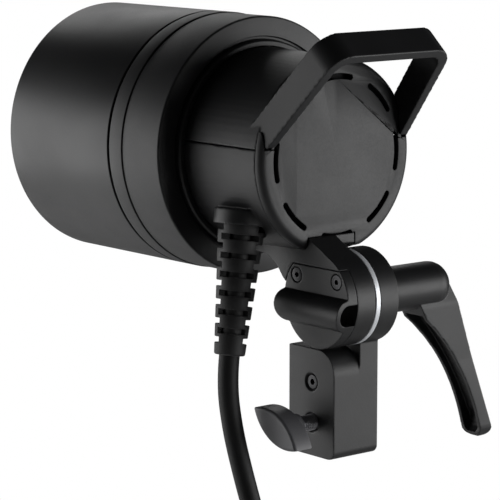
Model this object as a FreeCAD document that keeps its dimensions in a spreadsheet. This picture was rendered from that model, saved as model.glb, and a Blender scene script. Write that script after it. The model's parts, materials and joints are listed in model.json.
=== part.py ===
import FreeCAD, Part
import math
import os
import re
import Sketcher

# Remote flash head on a tilting stand bracket.
#
# Frame: +Z is up and the head faces -Y. The origin is the centre of the mouth
# of the stand socket, so the stand's axis is the Z axis. The tilt axis is
# parallel to X. The cable leaves on the +X side and the clamp lever is on the
# -X side. Every length is in millimetres.

os.makedirs("parts", exist_ok=True)
doc = FreeCAD.newDocument("FlashHead")
Vector = FreeCAD.Vector
Rotation = FreeCAD.Rotation

# ---------------------------------------------------------------- dimensions
DIMENSIONS = {
    # where the head and the tilt axis are
    "head_z": 140.0,
    "hub_y": 7.6,
    "hub_z": 75.0,
    # stations along the head, from its rear plate forwards
    "rear_y": 2.0,
    "cover_y": -2.4,
    "neck_y": -53.5,
    "band_y": -81.0,
    "collar_y": -91.0,
    "cap_y": -92.4,
    "front_y": -175.4,
    # radii and walls of the head
    "cap_radius": 62.5,
    "cap_wall": 2.5,
    "band_radius": 62.0,
    "band_wall": 3.0,
    "neck_radius": 47.5,
    "rear_radius": 46.0,
    "shell_wall": 2.4,
    "seam_rise": 6.0,
    "seam_gap": 0.3,
    # rear plate
    "plate_wall": 2.2,
    "plate_round": 3.6,
    "slot_radius": 37.2,
    "slot_width": 2.5,
    "slot_angle": 25.0,
    "slot_count": 8,
    # handle, a band that leans back over the rear plate
    "handle_lean": 42.0,
    "handle_length": 59.5,
    "handle_foot": 43.4,
    "handle_top": 35.5,
    "handle_depth": 15.0,
    "handle_wall": 4.8,
    "handle_corner": 12.0,
    # front bayonet, cap lugs and glass
    "mount_outer": 59.0,
    "mount_inner": 46.0,
    "lug_radius": 49.5,
    "lug_thick": 3.0,
    "lug_angle": 26.0,
    "window_angle": 32.0,
    "fan_half": 25.0,
    "dome_radius": 34.0,
    "dome_wall": 2.0,
    "ring_radius": 25.0,
    "ring_tube": 4.5,
    # foot channel under the neck and the tilt arm
    "foot_top": 103.4,
    "foot_low": 98.6,
    "foot_left": -11.0,
    "foot_right": 17.6,
    "foot_front": -37.0,
    "foot_clear": 0.3,
    "hub_radius": 22.5,
    "hub_inner_x": 0.7,
    "hub_face_x": 12.0,
    "hub_sweep": 23.6,
    "plate_rise": 15.7,
    # umbrella channel
    "umbrella_radius": 5.0,
    "umbrella_drop": 4.3,
    "umbrella_wall": 2.6,
    "umbrella_screw_y": 13.8,
    "umbrella_screw_z": 10.5,
    # bracket block, ear and washer
    "block_side": 13.7,
    "block_half": 16.0,
    "block_top": 51.0,
    "ear_x": -2.2,
    "washer_thick": 2.8,
    "block_round": 11.5,
    "socket_radius": 8.0,
    "socket_depth": 38.0,
    "grub_z": 35.0,
    "clamp_z": 15.8,
    "thread_radius": 4.0,
    # tilt bolt, clutch and lever
    "bolt_radius": 4.0,
    "bolt_run": 0.06,
    "bolt_end_x": -30.0,
    "nut_radius": 7.0,
    "nut_end_x": -36.0,
    "lever_radius": 11.0,
    "lever_start_x": -15.6,
    "lever_end_x": -62.5,
    "lever_width": 14.0,
    "lever_dome": 8.5,
    # clamp screw
    "knob_stem_x": 22.0,
    "knob_inner_x": 25.5,
    "knob_outer_x": 36.5,
    "knob_length": 34.0,
    "knob_width": 14.0,
    "knob_turn": -27.0,
    # cable, boot and coil
    "cord_radius": 4.85,
    "boot_length": 64.0,
    "boot_top_radius": 11.3,
    "boot_end_radius": 7.2,
    "boot_pitch": 8.7,
    "coil_radius": 55.0,
    "coil_x": 46.0,
}

sheet = doc.addObject("Spreadsheet::Sheet", "Dims")
for row, (alias, value) in enumerate(DIMENSIONS.items(), start=1):
    sheet.set("A%d" % row, str(value))
    sheet.setAlias("A%d" % row, alias)
doc.recompute()

WORD = re.compile(r"[a-z_][a-z0-9_]*")


def formula(text):
    """Turn the dimension names in a formula into references to their cells."""
    return WORD.sub(lambda found: "Dims." + found.group(0) if found.group(0) in DIMENSIONS
                    else found.group(0), str(text))


def size(alias):
    """The number in a dimension's cell, for shapes that code builds."""
    return float(sheet.get(alias))


# ------------------------------------------------------------------- helpers
ALONG = {
    "X": Rotation(Vector(0, 1, 0), 90),
    "Y": Rotation(Vector(1, 0, 0), -90),
    "Z": Rotation(),
}
TURNED_ABOUT = {
    "X": Rotation(Vector(0, 0, 1), -90),
    "Y": Rotation(),
    "Z": Rotation(Vector(1, 0, 0), 90),
}
HEAD_AXIS = ("0", "0", "head_z")


def bind(item, formulas):
    """Bind properties of an object to formulas of the sheet's dimensions."""
    for prop, text in formulas.items():
        item.setExpression(prop, formula(text))


def place(item, at, rotation=Rotation()):
    """Set an object's rotation and bind its position to three formulas."""
    item.Placement = FreeCAD.Placement(Vector(), rotation)
    bind(item, {"Placement.Base." + letter: text for letter, text in zip("xyz", at)})


def cylinder(name, radius, length, at, along="Z"):
    item = doc.addObject("Part::Cylinder", name)
    bind(item, {"Radius": radius, "Height": length})
    place(item, at, ALONG[along])
    return item


def cone(name, start_radius, end_radius, length, at, along="Z"):
    item = doc.addObject("Part::Cone", name)
    bind(item, {"Radius1": start_radius, "Radius2": end_radius, "Height": length})
    place(item, at, ALONG[along])
    return item


def box(name, low, high):
    """A box between two corners, each given as three formulas."""
    item = doc.addObject("Part::Box", name)
    sides = ["(%s) - (%s)" % (top, bottom) for bottom, top in zip(low, high)]
    bind(item, dict(zip(("Length", "Width", "Height"), sides)))
    place(item, low)
    return item


def cut(name, base, *tools):
    tool = tools[0] if len(tools) == 1 else fuse(name + "_tools", *tools)
    item = doc.addObject("Part::Cut", name)
    item.Base = base
    item.Tool = tool
    item.Refine = True
    return item


def fuse(name, *items):
    item = doc.addObject("Part::MultiFuse", name)
    item.Shapes = list(items)
    item.Refine = True
    return item


def common(name, *items):
    item = doc.addObject("Part::MultiCommon", name)
    item.Shapes = list(items)
    item.Refine = True
    return item


def ring(name, outer, inner, length, at, along="Z"):
    """A plain bush or washer."""
    solid = cylinder(name + "_outer", outer, length, at, along)
    hole = cylinder(name + "_hole", inner, length, at, along)
    return cut(name, solid, hole)


def origin_plane(body, role):
    return next(item for item in body.Origin.OriginFeatures if item.Role == role)


def outline(body, name, role, corners):
    """A closed sketch of straight sides whose corners are bound to formulas."""
    sketch = body.newObject("Sketcher::SketchObject", name)
    sketch.AttachmentSupport = [(origin_plane(body, role), "")]
    sketch.MapMode = "FlatFace"
    count = len(corners)
    start = [Vector(50 * math.cos(turn), 50 * math.sin(turn), 0)
             for turn in (2 * math.pi * step / count for step in range(count))]
    for step in range(count):
        sketch.addGeometry(Part.LineSegment(start[step], start[(step + 1) % count]), False)
    for step in range(count):
        sketch.addConstraint(Sketcher.Constraint("Coincident", step, 2, (step + 1) % count, 1))
    for step, corner in enumerate(corners):
        for kind, text, datum in zip(("DistanceX", "DistanceY"), corner, start[step]):
            index = sketch.addConstraint(Sketcher.Constraint(kind, step, 1, datum))
            label = "%s%d" % (kind, step)
            sketch.renameConstraint(index, label)
            sketch.setExpression("Constraints." + label, formula(text))
    return sketch


def turned(name, profile, at=HEAD_AXIS, about="Y"):
    """A body turned about an axis from (radius, distance along the axis) corners."""
    body = doc.addObject("PartDesign::Body", name)
    sketch = outline(body, name + "_profile", "XY_Plane", profile)
    revolution = body.newObject("PartDesign::Revolution", name + "_turned")
    revolution.Profile = sketch
    revolution.ReferenceAxis = (sketch, ["V_Axis"])
    revolution.Angle = 360
    place(body, at, TURNED_ABOUT[about])
    return body


def padded(name, role, corners, thickness, at=("0", "0", "0"), rotation=Rotation()):
    """A body padded evenly to both sides of its sketch plane."""
    body = doc.addObject("PartDesign::Body", name)
    sketch = outline(body, name + "_profile", role, corners)
    pad = body.newObject("PartDesign::Pad", name + "_pad")
    pad.Profile = sketch
    pad.Midplane = True
    bind(pad, {"Length": thickness})
    place(body, at, rotation)
    return body


def edges_where(shape, test):
    return ["Edge%d" % number for number, edge in enumerate(shape.Edges, start=1) if test(edge)]


def is_circle(edge, radius, station):
    """True for a circle of this radius at this distance along a turned body's axis."""
    curve = edge.Curve
    return (hasattr(curve, "Radius") and abs(curve.Radius - radius) < 1e-4
            and abs(curve.Center.y - station) < 1e-4)


def round_edges(body, name, radius, test):
    """Fillet the edges of a body's tip that pass the test."""
    doc.recompute()
    base = body.Tip
    fillet = body.newObject("PartDesign::Fillet", name)
    fillet.Base = (base, edges_where(base.Shape, test))
    fillet.Radius = radius
    body.Tip = fillet
    return fillet


def bore_through(body, name, radius, spots, role="XZ_Plane"):
    """Pocket round holes right through a body, parallel to a plane's normal."""
    sketch = body.newObject("Sketcher::SketchObject", name + "_spots")
    sketch.AttachmentSupport = [(origin_plane(body, role), "")]
    sketch.MapMode = "FlatFace"
    for index, spot in enumerate(spots):
        sketch.addGeometry(Part.Circle(Vector(10 + index, 5, 0), Vector(0, 0, 1), 1), False)
        values = (("Radius", (index,), radius), ("DistanceX", (index, 3), spot[0]),
                  ("DistanceY", (index, 3), spot[1]))
        for kind, where, text in values:
            number = sketch.addConstraint(Sketcher.Constraint(kind, *where, 1.0))
            label = "%s%d" % (kind, index)
            sketch.renameConstraint(number, label)
            sketch.setExpression("Constraints." + label, formula(text))
    pocket = body.newObject("PartDesign::Pocket", name)
    pocket.Profile = sketch
    pocket.Midplane = True
    pocket.Length = 500
    return pocket


def polar(body, name, originals, sketch, count):
    """Repeat features around the body's turning axis."""
    pattern = body.newObject("PartDesign::PolarPattern", name)
    pattern.Originals = originals
    pattern.Axis = (sketch, ["V_Axis"])
    pattern.Angle = 360
    pattern.Occurrences = count
    body.Tip = pattern
    return pattern


def coded(name, shape):
    """An object for a shape that neither primitives nor sketches suit."""
    item = doc.addObject("Part::Feature", name)
    item.Shape = shape
    return item


nodes = []


def node(item):
    """Keep an object as a sub-part of its own, named as it is labelled."""
    item.Label = item.Name
    nodes.append(item)
    return item


# -------------------------------------------------------------- head housing
def neck_profile(grow):
    """The neck's tube, slightly tapered to the rear."""
    inner = "shell_wall - (%s)" % grow
    return [("neck_radius - (%s)" % inner, "neck_y - 7"), ("neck_radius", "neck_y - 7"),
            ("neck_radius", "neck_y"), ("rear_radius", "cover_y - 0.1"),
            ("rear_radius - (%s)" % inner, "cover_y - 0.1"),
            ("neck_radius - (%s)" % inner, "neck_y")]


def handle_band(name, grow):
    """The handle's U band, leaning back from the shell's seam.

    Its local X is across the head, local Z runs up the legs and local Y is the
    band's depth. Growing it gives the space that its neighbours leave for it.
    """
    sink = "30"
    corners = [("handle_foot + %s" % grow, "-" + sink), ("handle_foot + %s" % grow, "0"),
               ("handle_top + %s" % grow, "handle_length + %s" % grow),
               ("-handle_top - %s" % grow, "handle_length + %s" % grow),
               ("-handle_foot - %s" % grow, "0"), ("-handle_foot - %s" % grow, "-" + sink),
               ("-handle_foot + handle_wall + %s" % grow, "-" + sink),
               ("-handle_foot + handle_wall + %s" % grow, "0"),
               ("-handle_top + handle_wall + %s" % grow, "handle_length - handle_wall - %s" % grow),
               ("handle_top - handle_wall - %s" % grow, "handle_length - handle_wall - %s" % grow),
               ("handle_foot - handle_wall - %s" % grow, "0"),
               ("handle_foot - handle_wall - %s" % grow, "-" + sink)]
    lean = size("handle_lean")
    body = padded(name, "XZ_Plane", corners, "handle_depth + 2 * %s" % grow,
                  rotation=Rotation(Vector(1, 0, 0), -lean))
    middle = "(handle_depth / 2)"
    bind(body, {"Placement.Base.y": "rear_y - %s * cos(handle_lean * 1 deg)" % middle,
                "Placement.Base.z": "head_z + seam_rise + %s * sin(handle_lean * 1 deg)" % middle})
    top = size("handle_length")

    def at_corner(edge, level):
        ends = [vertex.Point for vertex in edge.Vertexes]
        return (len(ends) == 2 and abs(ends[0].y - ends[1].y) > 10
                and abs(ends[0].z - level) < 0.6)

    corner = size("handle_corner")
    wall = size("handle_wall")
    round_edges(body, name + "_outer_corners", corner, lambda edge: at_corner(edge, top + grow))
    round_edges(body, name + "_inner_corners", corner - wall,
                lambda edge: at_corner(edge, top - wall - grow))
    return body


def neck_shells():
    """Upper shell with the handle, and lower shell with the foot channel and cable boss."""
    tube = turned("neck_tube", neck_profile("0"))
    above = box("above_seam", ("-80", "-90", "head_z + seam_rise + seam_gap / 2"), ("80", "90", "head_z + 90"))
    band = common("handle_above_seam", handle_band("handle_band", 0),
                  box("handle_space", ("-60", "-60", "head_z + seam_rise + seam_gap / 2"),
                      ("60", "90", "head_z + 90")))
    bore = cylinder("neck_bore", "rear_radius - shell_wall", "60", ("0", "cover_y - 55", "head_z"), "Y")
    legs = cut("handle_legs", band, bore)
    node(fuse("upper_shell", common("upper_half", tube, above), legs))

    tube_low = turned("neck_tube_low", neck_profile("0"))
    below = box("below_seam", ("-80", "-90", "head_z - 90"), ("80", "90", "head_z + seam_rise - seam_gap / 2"))
    half = common("lower_half", tube_low, below)
    roof = box("channel_outer", ("foot_left - 2.3", "foot_front - 2.3", "head_z - 45"),
               ("foot_right + 2.3", "cover_y - 0.1", "foot_top + foot_clear + 2"))
    inside = turned("neck_solid", [("0", "neck_y"), ("neck_radius", "neck_y"),
                                   ("rear_radius", "cover_y - 0.1"), ("0", "cover_y - 0.1")])
    walls = common("channel_walls", roof, inside)
    boss = boss_solid("cable_boss", 3.6, -3.4, size("boot_top_radius") + 1.9)
    pocket = boss_solid("boss_pocket", 1.3, -30.0, size("boot_top_radius") + 0.15)
    body = fuse("lower_body", half, walls, boss)
    channel = box("channel_inner", ("foot_left - foot_clear", "foot_front - foot_clear", "head_z - 70"),
                  ("foot_right + foot_clear", "10", "foot_top + foot_clear"))
    sweep = cylinder("hub_sweep_space", "hub_sweep", "foot_right - foot_left + 9",
                     ("foot_left - 4.5", "hub_y", "hub_z"), "X")
    node(cut("lower_shell", body, channel, sweep, pocket, *screw_holes("foot_screw_hole", 2.7)))


BOOT_START = Vector(35.9, -23.5, 112.0)
BOOT_WAY = Vector(10.7, 3.5, -63.0).normalize()


def boss_solid(name, above, below, radius):
    """A round solid on the boot's line, from above its start to below it."""
    base = BOOT_START - BOOT_WAY * above
    return coded(name, Part.makeCylinder(radius, above - below, base, BOOT_WAY))


FOOT_SCREW_SPOTS = [(x, y) for x in (-5.0, 11.5) for y in (-32.2, -9.0)]


def screw_holes(name, radius):
    """Four clearance holes through the channel's roof for the foot screws."""
    return [cylinder("%s_%d" % (name, number), radius, "6", (x, y, "foot_top - 1"), "Z")
            for number, (x, y) in enumerate(FOOT_SCREW_SPOTS)]


def rear_cover():
    """Round rear plate with curved vent slots, cut away for the handle and the foot."""
    body = turned("plate", [("0", "rear_y"), ("rear_radius", "rear_y"), ("rear_radius", "cover_y"),
                            ("rear_radius - shell_wall - 0.3", "cover_y"),
                            ("rear_radius - shell_wall - 0.3", "cover_y - 5"),
                            ("rear_radius - shell_wall - 1.7", "cover_y - 5"),
                            ("rear_radius - shell_wall - 1.7", "rear_y - plate_wall - 1"),
                            ("rear_radius - shell_wall - 2.7", "rear_y - plate_wall"),
                            ("0", "rear_y - plate_wall")])
    round_edges(body, "plate_edge", size("plate_round"),
                lambda edge: is_circle(edge, size("rear_radius"), size("rear_y")))
    doc.recompute()
    profile = outline(body, "slot_profile", "XY_Plane",
                      [("slot_radius - slot_width / 2", "rear_y - plate_wall - 1"),
                       ("slot_radius + slot_width / 2", "rear_y - plate_wall - 1"),
                       ("slot_radius + slot_width / 2", "rear_y + 1"),
                       ("slot_radius - slot_width / 2", "rear_y + 1")])
    slot = body.newObject("PartDesign::Groove", "slot")
    slot.Profile = profile
    slot.ReferenceAxis = (profile, ["V_Axis"])
    slot.Midplane = True
    bind(slot, {"Angle": "slot_angle"})
    half = "(slot_angle / 2 * 1 deg)"
    ends = bore_through(body, "slot_ends", "slot_width / 2",
                        [("slot_radius * cos%s" % half, "slot_radius * sin%s" % half),
                         ("slot_radius * cos%s" % half, "-slot_radius * sin%s" % half)])
    polar(body, "slots", [slot, ends], profile, DIMENSIONS["slot_count"])
    notch = box("foot_notch", ("foot_left - foot_clear", "-20", "head_z - 60"),
                ("foot_right + foot_clear", "20", "foot_top + foot_clear"))
    sweep = cylinder("cover_sweep_space", "hub_sweep", "foot_right - foot_left + 9",
                     ("foot_left - 4.5", "hub_y", "hub_z"), "X")
    skirt_notch = box("skirt_notch", ("foot_left - 2.7", "-20", "head_z - 60"),
                      ("foot_right + 2.7", "cover_y", "foot_top + 2.7"))
    node(cut("rear_cover", body, handle_band("handle_clearance", 0.3), notch, skirt_notch, sweep))
    mesh = cylinder("mesh_disc", "rear_radius - shell_wall - 2.1", "0.6", ("0", "cover_y - 1.3", "head_z"), "Y")
    mesh_notch = box("mesh_notch", ("foot_left - 3", "-20", "head_z - 60"),
                     ("foot_right + 3", "20", "foot_top + 3"))
    node(cut("dust_mesh", mesh, mesh_notch, handle_band("mesh_handle_space", 0.4)))


def front_housing():
    """Wide band with its rear wall, the lip at the neck and the slider's window."""
    body = turned("housing_turned",
                  [("neck_radius + 0.3", "neck_y + 2"), ("neck_radius + 2.9", "neck_y + 2"),
                   ("neck_radius + 3.4", "neck_y"), ("band_radius", "neck_y"),
                   ("band_radius", "band_y"), ("band_radius - band_wall", "band_y"),
                   ("band_radius - band_wall", "neck_y - 3"), ("neck_radius + 0.3", "neck_y - 3")])
    round_edges(body, "housing_edge", 0.9,
                lambda edge: is_circle(edge, size("band_radius"), size("neck_y")))
    window = box("slider_window", ("-70", "-78.5", "head_z - 5.4"), ("-50", "-58.5", "head_z + 5.4"))
    node(cut("front_housing", body, window))
    collar = turned("front_collar", [("mount_outer + 0.2", "band_y - 0.3"), ("cap_radius", "band_y - 0.3"),
                                     ("cap_radius", "collar_y"), ("mount_outer + 0.2", "collar_y")])
    node(collar)


def bayonet():
    """Metal bayonet ring with three windows, and the cap's ring with three lugs."""
    body = turned("bayonet_turned", [("mount_inner", "band_y - 3"), ("mount_outer", "band_y - 3"),
                                     ("mount_outer", "collar_y"), ("mount_inner", "collar_y")])
    profile = outline(body, "window_profile", "XY_Plane",
                      [("mount_inner - 1", "band_y - 2"), ("lug_radius + 0.4", "band_y - 2"),
                       ("lug_radius + 0.4", "collar_y - 1"), ("mount_inner - 1", "collar_y - 1")])
    window = body.newObject("PartDesign::Groove", "window")
    window.Profile = profile
    window.ReferenceAxis = (profile, ["V_Axis"])
    window.Midplane = True
    bind(window, {"Angle": "window_angle"})
    polar(body, "windows", [window], profile, 3)
    pin_hole = cylinder("pin_hole", "2.1", "20", ("-54", "collar_y - 2", "head_z"), "Y")
    node(cut("bayonet_ring", body, pin_hole))

    lug = turned("lug_turned", [("mount_inner + 0.3", "cap_y - 0.6"), ("cap_radius - cap_wall", "cap_y - 0.6"),
                                ("cap_radius - cap_wall", "cap_y - 3.6"), ("mount_inner + 0.3", "cap_y - 3.6")])
    doc.recompute()
    profile = outline(lug, "lug_profile", "XY_Plane",
                      [("lug_radius - lug_thick", "cap_y - 1.6"), ("lug_radius", "cap_y - 1.6"),
                       ("lug_radius", "band_y - 5"), ("lug_radius - lug_thick", "band_y - 5")])
    tab = lug.newObject("PartDesign::Revolution", "lug")
    tab.Profile = profile
    tab.ReferenceAxis = (profile, ["V_Axis"])
    tab.Midplane = True
    bind(tab, {"Angle": "lug_angle"})
    polar(lug, "lugs", [tab], profile, 3)
    pocket = cylinder("pin_pocket", "2.3", "2.2", ("-54", "cap_y - 2.4", "head_z"), "Y")
    node(cut("cap_lug_ring", lug, pocket))


def cap():
    """Protective cap: a deep closed cup."""
    body = turned("cap_shell", [("0", "front_y"), ("cap_radius", "front_y"), ("cap_radius", "cap_y"),
                                ("cap_radius - cap_wall", "cap_y"),
                                ("cap_radius - cap_wall", "front_y + cap_wall"), ("0", "front_y + cap_wall")])
    round_edges(body, "cap_edge", 2.2,
                lambda edge: is_circle(edge, size("cap_radius"), size("front_y")))
    node(body)


def lamp():
    """Flash tube, its holder and glass, the modelling light and the reflector."""
    node(turned("reflector_dish", [("19", "band_y + 5"), ("20", "band_y + 5"), ("45.4", "band_y - 2"),
                                   ("45.4", "band_y - 3"), ("44.6", "band_y - 3"), ("19", "band_y + 4")]))
    node(turned("lamp_holder", [("13", "band_y + 9"), ("18.6", "band_y + 9"), ("18.6", "band_y - 1.5"),
                                ("31", "band_y - 1.5"), ("31", "band_y - 5"), ("13", "band_y - 5")]))
    glass = turned("glass_wall",
                   [("dome_radius - dome_wall", "band_y - 1.7"), ("dome_radius + 4", "band_y - 1.7"),
                    ("dome_radius + 4", "band_y - 3.4"), ("dome_radius", "band_y - 4.4"),
                    ("dome_radius", "band_y - 40"), ("dome_radius - dome_wall", "band_y - 40")])
    outer = doc.addObject("Part::Sphere", "glass_end_outer")
    bind(outer, {"Radius": "dome_radius"})
    place(outer, ("0", "band_y - 40", "head_z"))
    inner = doc.addObject("Part::Sphere", "glass_end_inner")
    bind(inner, {"Radius": "dome_radius - dome_wall"})
    place(inner, ("0", "band_y - 40", "head_z"))
    rear_half = box("glass_rear_half", ("-50", "band_y - 40", "head_z - 50"), ("50", "0", "head_z + 50"))
    end = cut("glass_end", outer, inner, rear_half)
    node(fuse("glass_dome", glass, end))

    loop = doc.addObject("Part::Torus", "flash_loop")
    bind(loop, {"Radius1": "ring_radius", "Radius2": "ring_tube"})
    place(loop, ("0", "band_y - 31", "head_z"), ALONG["Y"])
    legs = [cylinder("flash_leg_%d" % number, "3", "26", (side + " * ring_radius", "band_y - 31", "head_z"),
                     "Y")
            for number, side in enumerate(("-1", "1"))]
    node(fuse("flash_tube", loop, *legs))

    node(turned("modelling_light", [("0", "band_y - 2"), ("12.6", "band_y - 2"), ("12.6", "band_y - 5.6"),
                                    ("9", "band_y - 6.2"), ("7", "band_y - 9"), ("3", "band_y - 10.6"),
                                    ("0", "band_y - 10.8")]))


def inner_parts():
    """Chassis, heat sink, circuit boards and fan inside the housing."""
    plate = turned("chassis_turned",
                   [("19.2", "band_y + 9.4"), ("band_radius - band_wall - 0.2", "band_y + 9.4"),
                    ("band_radius - band_wall - 0.2", "band_y + 12"), ("19.2", "band_y + 12")])
    slider_gap = box("chassis_slider_gap", ("-70", "-90", "head_z - 10.5"), ("-48", "0", "head_z + 10.5"))
    node(cut("chassis_plate", plate, slider_gap))

    core = turned("sink_core", [("0", "band_y - 1.8"), ("12.6", "band_y - 1.8"), ("12.6", "band_y + 12.3"),
                                ("28", "band_y + 12.3"), ("28", "band_y + 15"), ("7", "band_y + 15"),
                                ("7", "band_y + 33"), ("0", "band_y + 33")])
    doc.recompute()
    profile = outline(core, "fin_profile", "XY_Plane", [("6.5", "band_y + 14"), ("28", "band_y + 14"),
                                                        ("28", "band_y + 33"), ("6.5", "band_y + 33")])
    fin = core.newObject("PartDesign::Pad", "fin")
    fin.Profile = profile
    fin.Midplane = True
    fin.Length = 1.4
    polar(core, "fins", [fin], profile, 14)
    core.Label = "heat_sink"
    nodes.append(core)

    board_y = "(band_y + 54)"
    board = cylinder("board_disc", "38.5", "1.6", ("0", board_y, "head_z"), "Y")
    flat = box("board_flat", ("-60", "-60", "head_z - 60"), ("60", "60", "head_z - 32"))
    holes = [cylinder("board_hole_%d" % number, "1.7", "4", (x, board_y + " - 1", "head_z + %s" % z), "Y")
             for number, (x, z) in enumerate(STANDOFF_SPOTS)]
    boss_gap = boss_solid("board_boss_gap", 8.0, -12.0, size("boot_top_radius") + 3.0)
    node(cut("driver_board", board, flat, boss_gap, *holes))
    posts = [ring("standoff_%d" % number, "3", "1.55", "%s - (band_y + 12)" % board_y,
                  (x, "band_y + 12", "head_z + %s" % z), "Y")
             for number, (x, z) in enumerate(STANDOFF_SPOTS)]
    node(fuse("standoffs", *posts))
    screws = []
    for number, (x, z) in enumerate(STANDOFF_SPOTS):
        spot = (x, board_y + " - 8", "head_z + %s" % z)
        shank = cylinder("board_screw_shank_%d" % number, "1.5", "9.65", spot, "Y")
        head = cylinder("board_screw_head_%d" % number, "2.8", "1.8",
                        (x, board_y + " + 1.65", "head_z + %s" % z), "Y")
        screws.append(fuse("board_screw_%d" % number, shank, head))
    node(fuse("board_screws", *screws))
    node(box("trigger_transformer", ("-11", board_y + " - 15", "head_z + 4"),
             ("11", board_y + " - 0.05", "head_z + 24")))

    frame = box("fan_block", ("-fan_half", board_y + " + 4.5", "head_z - fan_half"),
                ("fan_half", board_y + " + 18", "head_z + fan_half"))
    mouth = cylinder("fan_mouth", "fan_half - 1.5", "20", ("0", board_y + " + 6.5", "head_z"), "Y")
    hub_hole = cylinder("fan_inlet", "fan_half - 3.5", "5", ("0", board_y + " + 3", "head_z"), "Y")
    spider = [box("fan_arm_%d" % number, (low_x, board_y + " + 4.5", "head_z + %s" % low_z),
                  (high_x, board_y + " + 5.7", "head_z + %s" % high_z))
              for number, (low_x, high_x, low_z, high_z) in
              enumerate(((-23, 23, -1.5, 1.5), (-1.5, 1.5, -23, 23)))]
    seat = cylinder("fan_seat", "10", "1.4", ("0", board_y + " + 4.5", "head_z"), "Y")
    post = cylinder("fan_post", "1.5", "10", ("0", board_y + " + 4.5", "head_z"), "Y")
    node(fuse("fan_frame", cut("fan_shroud", frame, mouth, hub_hole), *spider, seat, post))

    hub = turned("fan_hub", [("1.56", board_y + " + 6.6"), ("11.5", board_y + " + 6.6"),
                             ("11.5", board_y + " + 16"), ("0", board_y + " + 16"),
                             ("0", board_y + " + 14.9"), ("1.56", board_y + " + 14.9")])
    blades = []
    for number in range(7):
        blade = doc.addObject("Part::Box", "fan_blade_%d" % number)
        bind(blade, {"Length": "fan_half - 13.4", "Width": "7.5", "Height": "1.2"})
        turn = Rotation(Vector(0, 1, 0), number * 360 / 7)
        pitch = Rotation(Vector(1, 0, 0), 28)
        start = turn.multVec(Vector(10.4, 0, -1.8))
        place(blade, (start.x, board_y + " + 7.6", "head_z + (%s)" % start.z), turn * pitch)
        blades.append(blade)
    node(fuse("fan_rotor", hub, *blades))


STANDOFF_SPOTS = [(x, z) for x in (-28.5, 28.5) for z in (-19.0, 19.0)]


def release_slider():
    """Spring-loaded slider with the pin that locks the cap's ring."""
    grip = box("slider_grip", ("-63.4", "-77", "head_z - 5"), ("-57.5", "-65", "head_z + 5"))
    base = box("slider_base", ("-58.2", "-78.5", "head_z - 7"), ("-56.8", "-63.8", "head_z + 7"))
    carrier = box("slider_carrier", ("-57", "-78.5", "head_z - 3"), ("-51.6", "-72", "head_z + 3"))
    pin = cylinder("slider_pin", "1.8", "24", ("-54", "-94.2", "head_z"), "Y")
    node(fuse("release_slider", grip, base, carrier, pin))
    node(ring("release_spring", "2.6", "1.9", "14.8", ("-54", "-71.9", "head_z"), "Y"))


# ---------------------------------------------------------------- tilt joint
def tilt_arm():
    """Casting with the hub, the arm and the foot that carries the head."""
    hub = cylinder("arm_hub", "hub_radius", "hub_face_x - hub_inner_x", ("hub_inner_x", "hub_y", "hub_z"), "X")
    cheek = cylinder("arm_cheek", "hub_radius", "foot_right - hub_face_x", ("hub_face_x", "hub_y", "hub_z"),
                     "X")
    above = box("arm_cheek_space", ("hub_face_x", "hub_y - 40", "hub_z + plate_rise + 0.2"),
                ("foot_right", "hub_y + 40", "hub_z + 40"))
    segment = common("arm_cheek_top", cheek, above)
    foot = box("arm_foot", ("foot_left", "foot_front", "foot_low"), ("foot_right", "rear_y", "foot_top"))
    web_low = "hub_z + 6"
    web = padded("arm_web", "YZ_Plane",
                 [("rear_y", "foot_top"), ("hub_y + 10.5", "hub_z + 19.9"), ("hub_y", "hub_z"),
                  ("hub_y - 21.7", web_low), ("hub_y - 24.4", "hub_z + 8.6"), ("hub_y - 28.6", "hub_z + 13.8"),
                  ("hub_y - 34.5", "hub_z + 17.2"), ("foot_front", "hub_z + 18.4"), ("foot_front", "foot_top")],
                 "foot_right - hub_inner_x", at=("(foot_right + hub_inner_x) / 2", "0", "0"))
    low_web = box("arm_low_space", ("hub_face_x", "-60", "0"), ("40", "60", "hub_z + plate_rise + 0.2"))
    disc_space = cylinder("arm_plate_space", "hub_radius + 0.25", "20", ("hub_face_x", "hub_y", "hub_z"), "X")
    trimmed = cut("arm_trimmed_web", web, common("arm_plate_seat", low_web, disc_space))
    body = fuse("arm_body", hub, segment, foot, trimmed)
    bore = cylinder("arm_bore", "bolt_radius + bolt_run", "60", ("-20", "hub_y", "hub_z"), "X")
    head_room = cylinder("arm_head_room", "8", "20", ("6.2", "hub_y", "hub_z"), "X")
    taps = [cylinder("foot_tap_%d" % number, "2.5", "20", (x, y, "foot_top - 4.2"), "Z")
            for number, (x, y) in enumerate(FOOT_SCREW_SPOTS)]
    plate_taps = [cylinder("plate_tap_%d" % number, "1.9", "30",
                           ("hub_face_x - 6", "hub_y + %s * umbrella_screw_y" % side,
                            "hub_z + umbrella_screw_z"), "X")
                  for number, side in enumerate((-1, 1))]
    node(cut("tilt_arm", body, bore, head_room, *taps, *plate_taps))

    screws = []
    for number, (x, y) in enumerate(FOOT_SCREW_SPOTS):
        shank = cylinder("foot_shank_%d" % number, "2.45", "6.5", (x, y, "foot_top - 4.1"), "Z")
        head = cylinder("foot_head_%d" % number, "4.2", "2.6", (x, y, "foot_top + foot_clear + 2.05"), "Z")
        screws.append(fuse("foot_screw_%d" % number, shank, head))
    node(fuse("foot_screws", *screws))


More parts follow.
